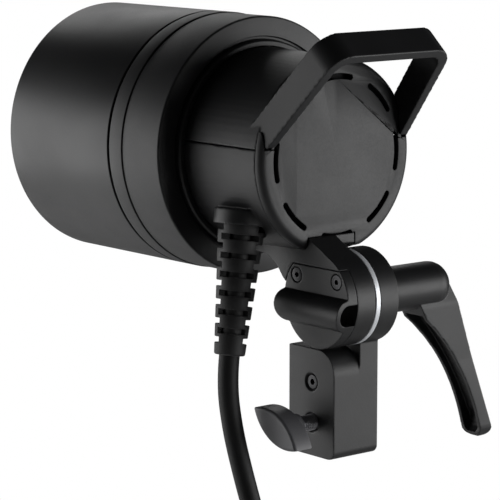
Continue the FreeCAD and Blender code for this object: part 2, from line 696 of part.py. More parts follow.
def umbrella_plate():
    """Screwed side plate whose half-round rib holds an umbrella's shaft."""
    low = "hub_z + plate_rise"
    disc = cylinder("plate_disc", "hub_radius", "foot_right - hub_face_x - 0.05",
                    ("hub_face_x + 0.05", "hub_y", "hub_z"), "X")
    under = box("plate_space", ("0", "hub_y - 40", "hub_z - 40"), ("60", "hub_y + 40", low))
    plate = common("plate_segment", disc, under)
    centre_x = "hub_face_x + umbrella_radius + 0.05"
    height = "hub_z - umbrella_drop"
    rib = cylinder("rib_round", "umbrella_radius + umbrella_wall", "60", (centre_x, "hub_y - 30", height), "Y")
    rib_base = box("rib_base",
                   ("hub_face_x + 0.05", "hub_y - 30", height + " - umbrella_radius - umbrella_wall"),
                   (centre_x, "hub_y + 30", height + " + umbrella_radius + umbrella_wall"))
    reach = cylinder("rib_reach", "hub_radius", "40", ("hub_face_x + 0.05", "hub_y", "hub_z"), "X")
    solid_rib = common("rib_solid", fuse("rib_block", rib, rib_base), reach)
    channel = cylinder("channel_round", "umbrella_radius", "80", (centre_x, "hub_y - 40", height), "Y")
    mouth = box("channel_mouth", ("hub_face_x - 5", "hub_y - 40", height + " - umbrella_radius"),
                (centre_x, "hub_y + 40", height + " + umbrella_radius"))
    holes = []
    screws = []
    for number, side in enumerate((-1, 1)):
        y = "hub_y + %s * umbrella_screw_y" % side
        z = "hub_z + umbrella_screw_z"
        holes.append(cylinder("plate_hole_%d" % number, "2.3", "20", ("hub_face_x - 2", y, z), "X"))
        holes.append(cylinder("plate_sink_%d" % number, "3.7", "20", ("foot_right - 3", y, z), "X"))
        shank = cylinder("plate_shank_%d" % number, "1.85", "8", ("hub_face_x - 5.2", y, z), "X")
        head = cylinder("plate_head_%d" % number, "3.5", "2.8", ("foot_right - 2.95", y, z), "X")
        recess = cylinder("plate_hex_%d" % number, "1.5", "3", ("foot_right - 1.7", y, z), "X")
        screws.append(cut("plate_screw_%d" % number, fuse("plate_screw_blank_%d" % number, shank, head),
                          recess))
    node(cut("umbrella_plate", fuse("plate_with_rib", plate, solid_rib), channel, mouth, *holes))
    node(fuse("umbrella_screws", *screws))


# ------------------------------------------------------------- stand bracket
def bracket_body():
    """Socket block with the ear that the head tilts against."""
    block = padded("block", "YZ_Plane",
                   [("-block_half", "0"), ("block_half", "0"), ("block_half", "block_top"),
                    ("-block_half", "block_top")],
                   "block_side * 2")
    half = size("block_half")
    top = size("block_top")

    def along_x(edge, y, z):
        ends = [vertex.Point for vertex in edge.Vertexes]
        return (len(ends) == 2 and abs(ends[0].x - ends[1].x) > 10
                and all(abs(end.y - y) < 0.01 and abs(end.z - z) < 0.01 for end in ends))

    round_edges(block, "block_rear_top", size("block_round"), lambda edge: along_x(edge, half, top))
    round_edges(block, "block_feet", 4.0,
                lambda edge: along_x(edge, half, 0.0) or along_x(edge, -half, 0.0))
    web = box("ear_web", ("-block_side", "-block_half", "block_top - 18"), ("ear_x", "block_half", "hub_z"))
    cheek = box("ear_rear_cut", ("-block_side - 1", "hub_y + 3", "block_top - 30"),
                ("ear_x + 1", "60", "hub_z + 1"))
    ear = cylinder("ear_round", "hub_radius", "ear_x + block_side", ("-block_side", "hub_y", "hub_z"), "X")
    rear = box("ear_rear_fill", ("-block_side", "0", "block_top - 18"), ("ear_x", "block_half", "hub_z"))
    body = fuse("bracket_blank", block, fuse("ear_column", cut("ear_front", web, cheek), rear), ear)
    socket = cylinder("socket", "socket_radius", "socket_depth + 5", ("0", "0", "-5"), "Z")
    grub = cylinder("grub_hole", "3.4", "30", ("0", "0", "grub_z"), "X")
    grub_lead = cone("grub_lead", "3.4", "4.6", "1.2", ("block_side - 1.2", "0", "grub_z"), "X")
    clamp = cylinder("clamp_hole", "thread_radius + 0.06", "30", ("0", "0", "clamp_z"), "X")
    clamp_lead = cone("clamp_lead", "thread_radius", "5", "1", ("block_side - 1", "0", "clamp_z"), "X")
    bolt = cylinder("ear_bore", "bolt_radius + 0.05", "60", ("-40", "hub_y", "hub_z"), "X")
    node(cut("bracket_body", body, socket, grub, grub_lead, clamp, clamp_lead, bolt))

    node(ring("friction_washer", "hub_radius + 0.2", "bolt_radius + 0.2", "washer_thick",
              ("ear_x", "hub_y", "hub_z"), "X"))
    shank = cylinder("bolt_shank", "bolt_radius", "7 - bolt_end_x", ("bolt_end_x", "hub_y", "hub_z"), "X")
    head = cylinder("bolt_head", "7.2", "4.9", ("6.7", "hub_y", "hub_z"), "X")
    node(fuse("tilt_bolt", shank, head))
    grub_body = cylinder("grub_blank", "3.36", "4.6", ("8.4", "0", "grub_z"), "X")
    grub_hex = cylinder("grub_hex", "1.7", "3", ("11", "0", "grub_z"), "X")
    node(cut("grub_screw", grub_body, grub_hex))
    node(ring("thrust_washer", "9.5", "bolt_radius + 0.2", "1.5", ("-block_side - 1.55", "hub_y", "hub_z"),
              "X"))


def clamp_screw():
    """Lens-shaped knob on a steel thread, with a brass shoe at its tip."""
    length = size("knob_length") / 2
    width = size("knob_width") / 2
    inner = size("knob_inner_x")
    outer = size("knob_outer_x")
    corners = [Vector(inner, -length, 0), Vector(inner, 0, width), Vector(inner, length, 0),
               Vector(inner, 0, -width)]
    face = Part.Face(Part.Wire([Part.Arc(corners[0], corners[1], corners[2]).toShape(),
                                Part.Arc(corners[2], corners[3], corners[0]).toShape()]))
    lens = face.extrude(Vector(outer - inner, 0, 0))
    long_edges = [edge for edge in lens.Edges if hasattr(edge.Curve, "Radius")]
    wing = coded("knob_wing", lens.makeFillet(1.4, long_edges))
    wing.Placement = FreeCAD.Placement(Vector(0, 0, size("clamp_z")),
                                       Rotation(Vector(1, 0, 0), size("knob_turn")))
    stem = cone("knob_stem", "5.2", "6.4", "knob_inner_x - knob_stem_x + 2", ("knob_stem_x", "0", "clamp_z"), "X")
    blind = cylinder("knob_thread_seat", "3.94", "7.5", ("knob_stem_x - 1", "0", "clamp_z"), "X")
    node(cut("clamp_knob", fuse("knob_blank", wing, stem), blind))
    node(cylinder("clamp_thread", "thread_radius - 0.1", "17.7", ("10.75", "0", "clamp_z"), "X"))
    node(cylinder("clamp_shoe", "3.5", "2.4", ("8.3", "0", "clamp_z"), "X"))


# --------------------------------------------------------------- clamp lever
def clamp_lever():
    """Indexing lever: a splined nut, the lever that lifts off it, spring and screw."""
    nut = cylinder("nut_blank", "nut_radius", "-15.45 - nut_end_x", ("nut_end_x", "hub_y", "hub_z"), "X")
    thread = cylinder("nut_thread", "bolt_radius + 0.05", "-bolt_end_x + 10",
                      ("bolt_end_x - 0.5", "hub_y", "hub_z"), "X")
    screw_hole = cylinder("nut_screw_hole", "2.6", "20", ("nut_end_x - 1", "hub_y", "hub_z"), "X")
    node(cut("clutch_nut", nut, thread, screw_hole))
    shank = cylinder("lever_screw_shank", "2.5", "24", ("-56.2", "hub_y", "hub_z"), "X")
    head = cylinder("lever_screw_head", "5.2", "3.6", ("-59.6", "hub_y", "hub_z"), "X")
    hexagon = cylinder("lever_screw_hex", "2.2", "2.2", ("-59.7", "hub_y", "hub_z"), "X")
    node(cut("lever_screw", fuse("lever_screw_blank", shank, head), hexagon))
    node(ring("lever_spring", "4.6", "2.9", "16.4", ("-55.6", "hub_y", "hub_z"), "X"))

    hub = coded("lever_hub", lever_hub_shape())
    arm = coded("lever_arm", lever_arm_shape())
    nut_room = cylinder("lever_nut_room", "nut_radius + 0.3", "40", ("nut_end_x - 0.4", "hub_y", "hub_z"), "X")
    web_hole = cylinder("lever_web_hole", "2.7", "20", ("nut_end_x - 10", "hub_y", "hub_z"), "X")
    spring_room = cylinder("lever_spring_room", "5.6", "27", ("-66", "hub_y", "hub_z"), "X")
    node(cut("clamp_lever", fuse("lever_blank", hub, arm), nut_room, web_hole, spring_room))


def lever_hub_shape():
    """The lever's round hub, with a domed outer end."""
    end = size("lever_end_x")
    length = size("lever_start_x") - end
    start = Vector(end, size("hub_y"), size("hub_z"))
    hub = Part.makeCylinder(size("lever_radius"), length, start, Vector(1, 0, 0))
    end_edges = [edge for edge in hub.Edges
                 if hasattr(edge.Curve, "Radius") and abs(edge.Curve.Center.x - end) < 0.01]
    return hub.makeFillet(size("lever_dome"), end_edges)


def lever_arm_shape():
    """The curved arm, hanging from the hub and leaning outwards, with a long pocket."""
    y = size("hub_y")
    z = size("hub_z")
    half = size("lever_width") / 2

    def spot(x, drop, side=-half):
        return Vector(x, y + side, z - drop)

    inner_start = spot(-42.0, 8.0)
    inner_edge = spot(-43.0, 14.0)
    inner_end = spot(-83.4, 74.3)
    outer_end = spot(-90.8, 71.6)
    outer_start = spot(-62.4, 0.6)
    outline = (Part.LineSegment(outer_start, inner_start), Part.LineSegment(inner_start, inner_edge),
               Part.Arc(inner_edge, spot(-66.5, 38.0), inner_end),
               Part.Arc(inner_end, spot(-88.2, 77.8), outer_end),
               Part.LineSegment(outer_end, outer_start))
    arm = Part.Face(Part.Wire([edge.toShape() for edge in outline])).extrude(Vector(0, 2 * half, 0))
    rim = 2.2
    pocket_half = half - rim
    mouth_top = spot(-30.0, 15.5, -pocket_half)
    mouth_low = spot(-30.0, 72.5, -pocket_half)
    back_top = spot(-54.0, 15.5, -pocket_half)
    back_low = spot(-87.0, 72.5, -pocket_half)
    pocket = Part.Face(Part.Wire([edge.toShape() for edge in (
        Part.LineSegment(mouth_top, mouth_low), Part.LineSegment(mouth_low, back_low),
        Part.Arc(back_low, spot(-71.5, 38.0, -pocket_half), back_top), Part.LineSegment(back_top, mouth_top))]))
    return arm.cut(pocket.extrude(Vector(0, 2 * pocket_half, 0)))


# ------------------------------------------------------------- cable and plug
def strain_relief():
    """Gland in the boss, and the segmented rubber boot that the cable leaves by."""
    start = BOOT_START
    way = BOOT_WAY
    node(coded("cable_gland", Part.makeCylinder(6.8, 9.0, start - way * 1.2, way)))
    length = size("boot_length")
    top = size("boot_top_radius")
    end = size("boot_end_radius")
    pitch = size("boot_pitch")
    core = Part.makeCone(top - 2.6, end - 1.9, length - 0.02, start + way * 0.01, way)
    solid = core
    count = int(length // pitch)
    for number in range(count + 1):
        near = number * pitch
        radius = top + (end - top) * near / length
        thick = min(pitch - 2.6, length - near)
        slice_top = end + (top - end) * (1 - (near + thick) / length)
        if thick > 1.0:
            solid = solid.fuse(Part.makeCone(radius, slice_top, thick, start + way * near, way))
    hollow = Part.makeCylinder(6.9, 8.0, start - way * 0.1, way)
    node(coded("strain_relief", solid.cut(hollow).removeSplitter()))


def rounded_path(points):
    """Straight runs joined by arcs as large as the shorter run of each corner allows."""
    edges = []
    radii = []
    last = points[0]
    for before, corner, after in zip(points, points[1:], points[2:]):
        come = (corner - before).normalize()
        leave = (after - corner).normalize()
        turn = come.getAngle(leave)
        reach = 0.45 * min((corner - before).Length, (after - corner).Length)
        radius = reach / math.tan(turn / 2)
        first = corner - come * reach
        final = corner + leave * reach
        middle_way = (leave - come).normalize()
        centre = corner + middle_way * (radius / math.cos(turn / 2))
        middle = centre - middle_way * radius
        edges.append(Part.LineSegment(last, first).toShape())
        edges.append(Part.Arc(first, middle, final).toShape())
        radii.append(radius)
        last = final
    edges.append(Part.LineSegment(last, points[-1]).toShape())
    return Part.Wire(edges), radii


def cord_tube(name, points):
    """A round cord along a route, with its volume checked against its length."""
    path, radii = rounded_path(points)
    way = (points[1] - points[0]).normalize()
    radius = size("cord_radius")
    section = Part.Wire([Part.makeCircle(radius, points[0], way)])
    solid = path.makePipeShell([section], True, True)
    expected = math.pi * radius ** 2 * path.Length
    print("%s: length %.1f, volume ratio %.4f, radii %s"
          % (name, path.Length, solid.Volume / expected, ", ".join("%.0f" % value for value in radii)))
    return node(coded(name, solid))


BOOT_END = BOOT_START + BOOT_WAY * DIMENSIONS["boot_length"]
COIL_CENTRE = Vector(DIMENSIONS["coil_x"], 66.0, -92.0)
COIL_OUTER = DIMENSIONS["coil_radius"] + 2 * DIMENSIONS["cord_radius"]


def cord():
    """The cable from the boot down to its hanging coil, and its free end with the plug."""
    radius = size("cord_radius")
    lead_in = COIL_OUTER - radius
    entry = COIL_CENTRE + Vector(-radius, -lead_in, 0)
    route = [BOOT_END, BOOT_END + BOOT_WAY * 13.0, Vector(48.1, -16.2, 15.5), Vector(46.2, -10.6, -6.0),
             Vector(43.4, -3.6, -30.0), Vector(41.4, 0.9, -61.5), entry]
    cord_tube("supply_cord", route)
    mean = size("coil_radius")
    inner = mean - 2 * radius
    half = 3 * radius
    outer_half = 2 * radius
    profile = [Vector(-half, inner, 0), Vector(half, inner, 0), Vector(half, mean, 0),
               Vector(outer_half, COIL_OUTER, 0), Vector(-outer_half, COIL_OUTER, 0), Vector(-half, mean, 0)]
    face = Part.Face(Part.makePolygon(profile + profile[:1]))
    coil = face.revolve(Vector(0, 0, 0), Vector(1, 0, 0), 360)
    coil.translate(COIL_CENTRE)
    node(coded("cord_coil", coil))
    leave = COIL_CENTRE + Vector(radius, -lead_in, 0)
    tail = [leave, leave + Vector(0.6, -1.6, -21.5), leave + Vector(1.0, -2.2, -44.0),
            leave + Vector(1.0, -2.2, -64.0)]
    cord_tube("cord_tail", tail)
    coil_tie()
    plug(tail[-1])


def coil_tie():
    """Strap around the coil's section at its top."""
    radius = size("cord_radius")
    low = COIL_CENTRE + Vector(-3 * radius - 0.3, -7.0, size("coil_radius") - 2 * radius - 0.9)
    outer = Part.makeBox(6 * radius + 3.4, 14.0, 4 * radius + 4.0, low - Vector(1.4, 0, 1.4))
    inner = Part.makeBox(6 * radius + 0.6, 14.0, 4 * radius + 1.2, low)
    node(coded("coil_tie", outer.cut(inner)))


def plug(top):
    """Round multi-pin connector hanging from the free end of the cable."""
    at = (str(top.x), str(top.y), str(top.z))
    node(turned("plug_body", [("0", "0"), ("6.4", "0"), ("8", "-12"), ("12.5", "-18"), ("12.5", "-46"),
                              ("10.5", "-46"), ("10.5", "-58"), ("8.9", "-58"), ("8.9", "-48"), ("0", "-48")],
                at, "Z"))
    node(ring("plug_sleeve", "14.4", "12.55", "20", (at[0], at[1], "%s - 44" % at[2]), "Z"))
    pins = []
    for number in range(7):
        turn = 2 * math.pi * number / 6
        reach = 0.0 if number == 6 else 5.6
        spot = ("%s + (%s)" % (at[0], reach * math.cos(turn)), "%s + (%s)" % (at[1], reach * math.sin(turn)),
                "%s - 57" % at[2])
        pins.append(cylinder("plug_pin_%d" % number, "1.1", "8.95", spot, "Z"))
    node(fuse("plug_pins", *pins))


# --------------------------------------------------------------------- build
neck_shells()
rear_cover()
front_housing()
bayonet()
cap()
lamp()
inner_parts()
release_slider()
tilt_arm()
umbrella_plate()
bracket_body()
clamp_screw()
clamp_lever()
strain_relief()
cord()
doc.recompute()

failed = [item.Name for item in doc.Objects if "Invalid" in item.State or "Error" in item.State]
bad = [item.Label for item in nodes if item.Shape.isNull() or not item.Shape.isValid() or not item.Shape.Solids]
if failed or bad:
    raise RuntimeError("failed objects %s, bad shapes %s" % (failed, bad))
for item in nodes:
    item.Shape.exportStep(os.path.join("parts", item.Label + ".step"))
    print("%-20s %9.0f mm3 %2d solid(s)" % (item.Label, item.Shape.Volume, len(item.Shape.Solids)))
print(len(nodes), "parts written")
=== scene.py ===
import bmesh
import bpy
import json
import math
from mathutils import Matrix, Vector


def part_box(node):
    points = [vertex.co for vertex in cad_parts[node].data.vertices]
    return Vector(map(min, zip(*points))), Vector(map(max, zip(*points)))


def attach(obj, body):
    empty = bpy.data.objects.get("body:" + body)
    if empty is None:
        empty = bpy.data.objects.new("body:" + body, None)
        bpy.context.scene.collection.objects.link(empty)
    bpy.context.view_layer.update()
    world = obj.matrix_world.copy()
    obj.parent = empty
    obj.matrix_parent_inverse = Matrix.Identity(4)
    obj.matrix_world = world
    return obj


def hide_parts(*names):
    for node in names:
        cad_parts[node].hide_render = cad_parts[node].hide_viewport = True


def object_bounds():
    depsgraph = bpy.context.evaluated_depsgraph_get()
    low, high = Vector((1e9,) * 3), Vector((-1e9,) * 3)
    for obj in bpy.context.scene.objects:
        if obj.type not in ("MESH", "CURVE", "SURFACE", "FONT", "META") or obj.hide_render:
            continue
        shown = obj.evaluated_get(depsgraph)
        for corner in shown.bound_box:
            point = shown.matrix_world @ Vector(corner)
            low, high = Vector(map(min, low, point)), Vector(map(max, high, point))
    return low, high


# Remote flash head on a tilting stand bracket, seen from behind on its cable side.
# The helpers take millimetres in the row frame and make meshes in metres.

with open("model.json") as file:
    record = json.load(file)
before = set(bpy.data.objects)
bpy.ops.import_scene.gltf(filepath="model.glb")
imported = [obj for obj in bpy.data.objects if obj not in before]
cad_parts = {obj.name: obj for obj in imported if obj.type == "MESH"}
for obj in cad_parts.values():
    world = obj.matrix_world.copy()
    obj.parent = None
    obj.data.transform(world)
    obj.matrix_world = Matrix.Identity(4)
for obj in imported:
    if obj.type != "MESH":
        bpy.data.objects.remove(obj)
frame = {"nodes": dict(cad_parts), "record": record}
cad_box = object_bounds()
MM = 0.001

# ------------------------------------------------------------- places and sizes
rear_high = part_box("rear_cover")[1]
cap_low, cap_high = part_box("cap_shell")
washer_low, washer_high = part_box("friction_washer")
HEAD_Z = (cap_low.z + cap_high.z) / 2 / MM
REAR_Y = rear_high.y / MM
HEAD = Vector((0, 0, HEAD_Z))
HUB = Vector((0, (washer_low.y + washer_high.y) / 2 / MM, (washer_low.z + washer_high.z) / 2 / MM))
CAP_RADIUS = 62.5
CAP_REAR = cap_high.y / MM
CAP_FRONT = cap_low.y / MM
CORD_RADIUS = 4.85


# --------------------------------------------------------------------- outlines
def arc_through(first, middle, last, steps):
    """Points of the arc through three points, without the first one."""
    a, b, c = (Vector(p) for p in (first, middle, last))
    d = 2 * (a.x * (b.y - c.y) + b.x * (c.y - a.y) + c.x * (a.y - b.y))
    squares = [p.length_squared for p in (a, b, c)]
    centre = Vector(((squares[0] * (b.y - c.y) + squares[1] * (c.y - a.y) + squares[2] * (a.y - b.y)) / d,
                     (squares[0] * (c.x - b.x) + squares[1] * (a.x - c.x) + squares[2] * (b.x - a.x)) / d))
    start, via, end = (math.atan2(p.y - centre.y, p.x - centre.x) for p in (a, b, c))
    sweep = (end - start) % (2 * math.pi)
    if (via - start) % (2 * math.pi) > sweep:
        sweep -= 2 * math.pi
    reach = (a - centre).length
    turns = (start + sweep * step / steps for step in range(1, steps + 1))
    return [(centre.x + reach * math.cos(turn), centre.y + reach * math.sin(turn)) for turn in turns]


def rounded(corners, closed=True, steps=6):
    """Points along (x, y, radius) corners, each corner rounded with its radius."""
    points = []
    count = len(corners)
    for index, corner in enumerate(corners):
        here = Vector(corner[:2])
        radius = corner[2] if len(corner) > 2 else 0.0
        if radius <= 0 or (not closed and index in (0, count - 1)):
            points.append(tuple(here))
            continue
        before = (Vector(corners[index - 1][:2]) - here).normalized()
        after = (Vector(corners[(index + 1) % count][:2]) - here).normalized()
        half = before.angle(after) / 2
        reach = radius / math.tan(half)
        centre = here + (before + after).normalized() * (radius / math.sin(half))
        first = here + before * reach
        middle = centre + (here - centre).normalized() * radius
        last = here + after * reach
        points.append(tuple(first))
        points.extend(arc_through(first, middle, last, steps))
    return points


# ---------------------------------------------------------------- mesh building
def piece_from(name, bm):
    """A new object from a bmesh in millimetres."""
    bmesh.ops.recalc_face_normals(bm, faces=bm.faces)
    bmesh.ops.scale(bm, vec=(MM, MM, MM), verts=bm.verts)
    mesh = bpy.data.meshes.new(name)
    bm.to_mesh(mesh)
    bm.free()
    piece = bpy.data.objects.new(name, mesh)
    bpy.context.scene.collection.objects.link(piece)
    return piece


def frame_along(axis, at):
    """Local z along an axis through a point, in millimetres."""
    turn = Vector(axis).to_track_quat("Z", "Y").to_matrix().to_4x4()
    return Matrix.Translation(Vector(at)) @ turn


AXES = {"X": (1, 0, 0), "Y": (0, 1, 0), "Z": (0, 0, 1)}


def lathe(name, profile, at, axis="Y", closed=True, segments=160, ridges=None):
    """Turn a (radius, station) profile about an axis. ridges(turn, station, radius) adds to the radius."""
    bm = bmesh.new()
    local = frame_along(AXES[axis], (0, 0, 0))
    origin = Vector(at)
    rings = []
    for radius, station in profile:
        if radius < 1e-6:
            rings.append([bm.verts.new(origin + local @ Vector((0, 0, station)))])
            continue
        ring = []
        for step in range(segments):
            turn = 2 * math.pi * step / segments
            reach = radius + (ridges(turn, station, radius) if ridges else 0.0)
            spot = Vector((reach * math.cos(turn), reach * math.sin(turn), station))
            ring.append(bm.verts.new(origin + local @ spot))
        rings.append(ring)
    following = rings[1:] + rings[:1] if closed else rings[1:]
    for low, high in zip(rings, following):
        for step in range(segments):
            after = (step + 1) % segments
            if len(low) == 1 and len(high) == 1:
                break
            if len(low) == 1:
                bm.faces.new((low[0], high[after], high[step]))
            elif len(high) == 1:
                bm.faces.new((low[step], low[after], high[0]))
            else:
                bm.faces.new((low[step], low[after], high[after], high[step]))
    return piece_from(name, bm)


def prism(name, outline, low, high, across="X"):
    """Extrude a closed outline between two stations of the axis across it."""
    spots = {"X": lambda u, v, w: (w, u, v), "Y": lambda u, v, w: (u, w, v), "Z": lambda u, v, w: (u, v, w)}
    bm = bmesh.new()
    near = [bm.verts.new(spots[across](u, v, low)) for u, v in outline]
    far = [bm.verts.new(spots[across](u, v, high)) for u, v in outline]
    bm.faces.new(near)
    bm.faces.new(list(reversed(far)))
    count = len(outline)
    for step in range(count):
        after = (step + 1) % count
        bm.faces.new((near[after], near[step], far[step], far[after]))
    return piece_from(name, bm)


def block(name, low, high, radius=0.0, across="X"):
    """A box between two corners, with the four edges along one axis rounded."""
    order = {"X": (1, 2, 0), "Y": (0, 2, 1), "Z": (0, 1, 2)}[across]
    (u0, v0, w0), (u1, v1, w1) = ([corner[k] for k in order] for corner in (low, high))
    outline = rounded([(u0, v0, radius), (u1, v0, radius), (u1, v1, radius), (u0, v1, radius)])
    return prism(name, outline, w0, w1, across)


def applied(piece):
    """Apply a piece's modifiers to its mesh."""
    graph = bpy.context.evaluated_depsgraph_get()
    mesh = bpy.data.meshes.new_from_object(piece.evaluated_get(graph))
    piece.modifiers.clear()
    piece.data = mesh
    return piece


def boolean(piece, others, operation):
    """Cut, join or cross a piece with others, which are used up."""
    for other in others:
        step = piece.modifiers.new("boolean", "BOOLEAN")
        step.operation = operation
        step.solver = "EXACT"
        step.object = other
    applied(piece)
    for other in others:
        bpy.data.objects.remove(other)
    return piece


def carved(piece, *cutters):
    return boolean(piece, cutters, "DIFFERENCE")


def fused(piece, *others):
    return boolean(piece, others, "UNION")


def joined(name, pieces):
    """One object with the meshes of several, which don't touch."""
    bm = bmesh.new()
    for item in pieces:
        bm.from_mesh(item.data)
    for item in pieces:
        bpy.data.objects.remove(item)
    bmesh.ops.scale(bm, vec=(1 / MM, 1 / MM, 1 / MM), verts=bm.verts)
    return piece_from(name, bm)


def merged_flats(piece):
    """Merge the faces that lie in one plane."""
    bm = bmesh.new()
    bm.from_mesh(piece.data)
    bmesh.ops.dissolve_limit(bm, angle_limit=0.005, verts=bm.verts, edges=bm.edges)
    bm.to_mesh(piece.data)
    bm.free()
    return piece


def bevelled(piece, width, segments=3):
    """Round a piece's sharp edges."""
    step = piece.modifiers.new("edges", "BEVEL")
    step.width = width * MM
    step.segments = segments
    step.limit_method = "ANGLE"
    step.angle_limit = math.radians(32)
    step.use_clamp_overlap = False
    step.harden_normals = False
    return applied(piece)


def melted(piece, voxel, rounds=4, keep=0.35):
    """Remesh a piece finely and soften it, so that every edge gets a cast or moulded rounding.

    rounds says how often it is smoothed, keep which share of the faces is left.
    """
    step = piece.modifiers.new("grid", "REMESH")
    step.mode = "VOXEL"
    step.voxel_size = voxel * MM
    step = piece.modifiers.new("soften", "SMOOTH")
    step.factor = 0.5
    step.iterations = rounds
    step = piece.modifiers.new("thin", "DECIMATE")
    step.ratio = keep
    return applied(piece)


def cad_copy(node, name):
    """A new piece with a CAD node's shape."""
    piece = bpy.data.objects.new(name, frame["nodes"][node].data.copy())
    bpy.context.scene.collection.objects.link(piece)
    return piece


def finished(piece, body, slot, *nodes, angle=35, flat_faces=False):
    """Shade a piece, give it its material, hang it on its body and hide the CAD nodes that it stands in for."""
    for polygon in piece.data.polygons:
        polygon.use_smooth = not (flat_faces and abs(polygon.normal.y) > 0.9999)
    piece.data.set_sharp_from_angle(angle=math.radians(angle))
    piece.data.materials.clear()
    piece.data.materials.append(MATERIALS[slot])
    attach(piece, body)
    if nodes:
        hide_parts(*nodes)
    return piece


# -------------------------------------------------------------------- materials
class Shader:
    """Builds one node material around a Principled shader."""

    def __init__(self, name):
        self.material = bpy.data.materials.new(name)
        self.material.use_nodes = True
        self.tree = self.material.node_tree
        self.shader = self.tree.nodes["Principled BSDF"]
        self.coordinates = self.add("ShaderNodeTexCoord").outputs["Object"]

    def add(self, kind, settings=None, **inputs):
        node = self.tree.nodes.new(kind)
        for key, value in (settings or {}).items():
            setattr(node, key, value)
        for key, value in inputs.items():
            self.put(node.inputs[key.replace("_", " ")], value)
        return node

    def put(self, socket, value):
        if isinstance(value, bpy.types.NodeSocket):
            self.tree.links.new(value, socket)
        else:
            socket.default_value = value

    def set(self, **inputs):
        for key, value in inputs.items():
            self.put(self.shader.inputs[key.replace("_", " ")], value)

    def noise(self, scale, detail=3.0, stretch=None):
        vector = self.coordinates
        if stretch:
            vector = self.add("ShaderNodeMapping", Vector=vector, Scale=stretch).outputs[0]
        node = self.add("ShaderNodeTexNoise", Vector=vector, Scale=scale, Detail=detail)
        return node.outputs["Fac"]

    def cells(self, scale, feature="F1"):
        node = self.add("ShaderNodeTexVoronoi", {"feature": feature}, Vector=self.coordinates, Scale=scale)
        return node.outputs["Distance"]

    def waves(self, scale, direction, distortion=0.0):
        node = self.add("ShaderNodeTexWave", {"bands_direction": direction}, Vector=self.coordinates,
                        Scale=scale, Distortion=distortion)
        return node.outputs["Fac"]

    def math(self, operation, first, second=0.0):
        node = self.add("ShaderNodeMath", {"operation": operation})
        self.put(node.inputs[0], first)
        self.put(node.inputs[1], second)
        return node.outputs[0]

    def between(self, value, low, high, to_low, to_high):
        node = self.add("ShaderNodeMapRange", Value=value)
        for index, number in enumerate((low, high, to_low, to_high), start=1):
            node.inputs[index].default_value = number
        return node.outputs[0]

    def blend(self, share, first, second):
        node = self.add("ShaderNodeMix", {"data_type": "RGBA"})
        self.put(node.inputs["Factor"], share)
        for index, value in ((6, first), (7, second)):
            self.put(node.inputs[index], value if isinstance(value, bpy.types.NodeSocket) else (*value, 1.0))
        return node.outputs[2]

    def edges(self, radius, strength):
        """A mask that is bright along sharp edges, broken up by a noise."""
        soft = self.add("ShaderNodeBevel", {"samples": 4}, Radius=radius).outputs[0]
        hard = self.add("ShaderNodeNewGeometry").outputs["Normal"]
        dot = self.add("ShaderNodeVectorMath", {"operation": "DOT_PRODUCT"})
        self.put(dot.inputs[0], soft)
        self.put(dot.inputs[1], hard)
        corner = self.between(dot.outputs["Value"], 0.995, 0.86, 0.0, strength)
        return self.math("MULTIPLY", corner, self.between(self.noise(210.0), 0.38, 0.62, 0.0, 1.0))

    def bump(self, height, strength, distance):
        normal = self.add("ShaderNodeBump", Height=height, Strength=strength, Distance=distance)
        self.set(Normal=normal.outputs[0])


def tint(colour, factor):
    return tuple(min(1.0, part * factor) for part in colour)


def surface(name, colour, rough, metal=0.0, mottle=0.14, spread=0.06, grain=1500.0, depth=0.00004,
            strength=0.35, stretch=None, wear=0.35, worn=None, coat=0.0, sheen=0.0, specular=0.5):
    """Moulded, painted or metal surface with mottling, grain, smears and worn edges."""
    make = Shader(name)
    cloud = make.noise(38.0, 5.0)
    base = make.blend(make.between(cloud, 0.35, 0.65, 0.0, 1.0), tint(colour, 1 - mottle),
                      tint(colour, 1 + mottle))
    if wear:
        base = make.blend(make.edges(0.0007, wear), base, worn or tint(colour, 2.6))
    grains = make.noise(grain, 2.0, stretch)
    smear = make.noise(16.0, 6.0)
    roughness = make.math("ADD", make.between(smear, 0.3, 0.7, rough - spread, rough + spread),
                          make.between(grains, 0.3, 0.7, -0.03, 0.03))
    make.set(Base_Color=base, Roughness=roughness, Metallic=metal, Coat_Weight=coat, Sheen_Weight=sheen,
             Specular_IOR_Level=specular)
    make.bump(grains, strength, depth)
    return make.material


def glass(name, colour, rough, thin_marks):
    make = Shader(name)
    smear = make.between(make.noise(24.0, 5.0), 0.4, 0.75, rough, rough + thin_marks)
    tone = make.blend(make.noise(9.0), colour, tint(colour, 0.94))
    make.set(Base_Color=tone, Roughness=smear, Transmission_Weight=1.0, IOR=1.47)
    make.bump(make.noise(60.0), 0.02, 0.0001)
    return make.material


def dust_mesh(name, colour):
    """Fine woven mesh: two crossed sets of waves."""
    make = Shader(name)
    weave = make.math("MULTIPLY", make.waves(1300.0, "X"), make.waves(1300.0, "Z"))
    base = make.blend(make.between(weave, 0.1, 0.5, 0.0, 1.0), tint(colour, 2.4), tint(colour, 0.4))
    make.set(Base_Color=base, Roughness=make.between(weave, 0.0, 1.0, 0.5, 0.8))
    make.bump(weave, 0.8, 0.0004)
    return make.material


def strap(name, colour):
    """Hook-and-loop strap: a ribbed weave under a short nap."""
    make = Shader(name)
    ribs = make.waves(520.0, "Y", 1.5)
    nap = make.noise(2600.0, 4.0)
    base = make.blend(make.math("MULTIPLY", ribs, nap), tint(colour, 0.7), tint(colour, 2.8))
    make.set(Base_Color=base, Roughness=make.between(nap, 0.2, 0.8, 0.8, 0.98), Sheen_Weight=0.4)
    make.bump(make.math("ADD", make.math("MULTIPLY", ribs, 0.6), nap), 0.7, 0.0004)
    return make.material


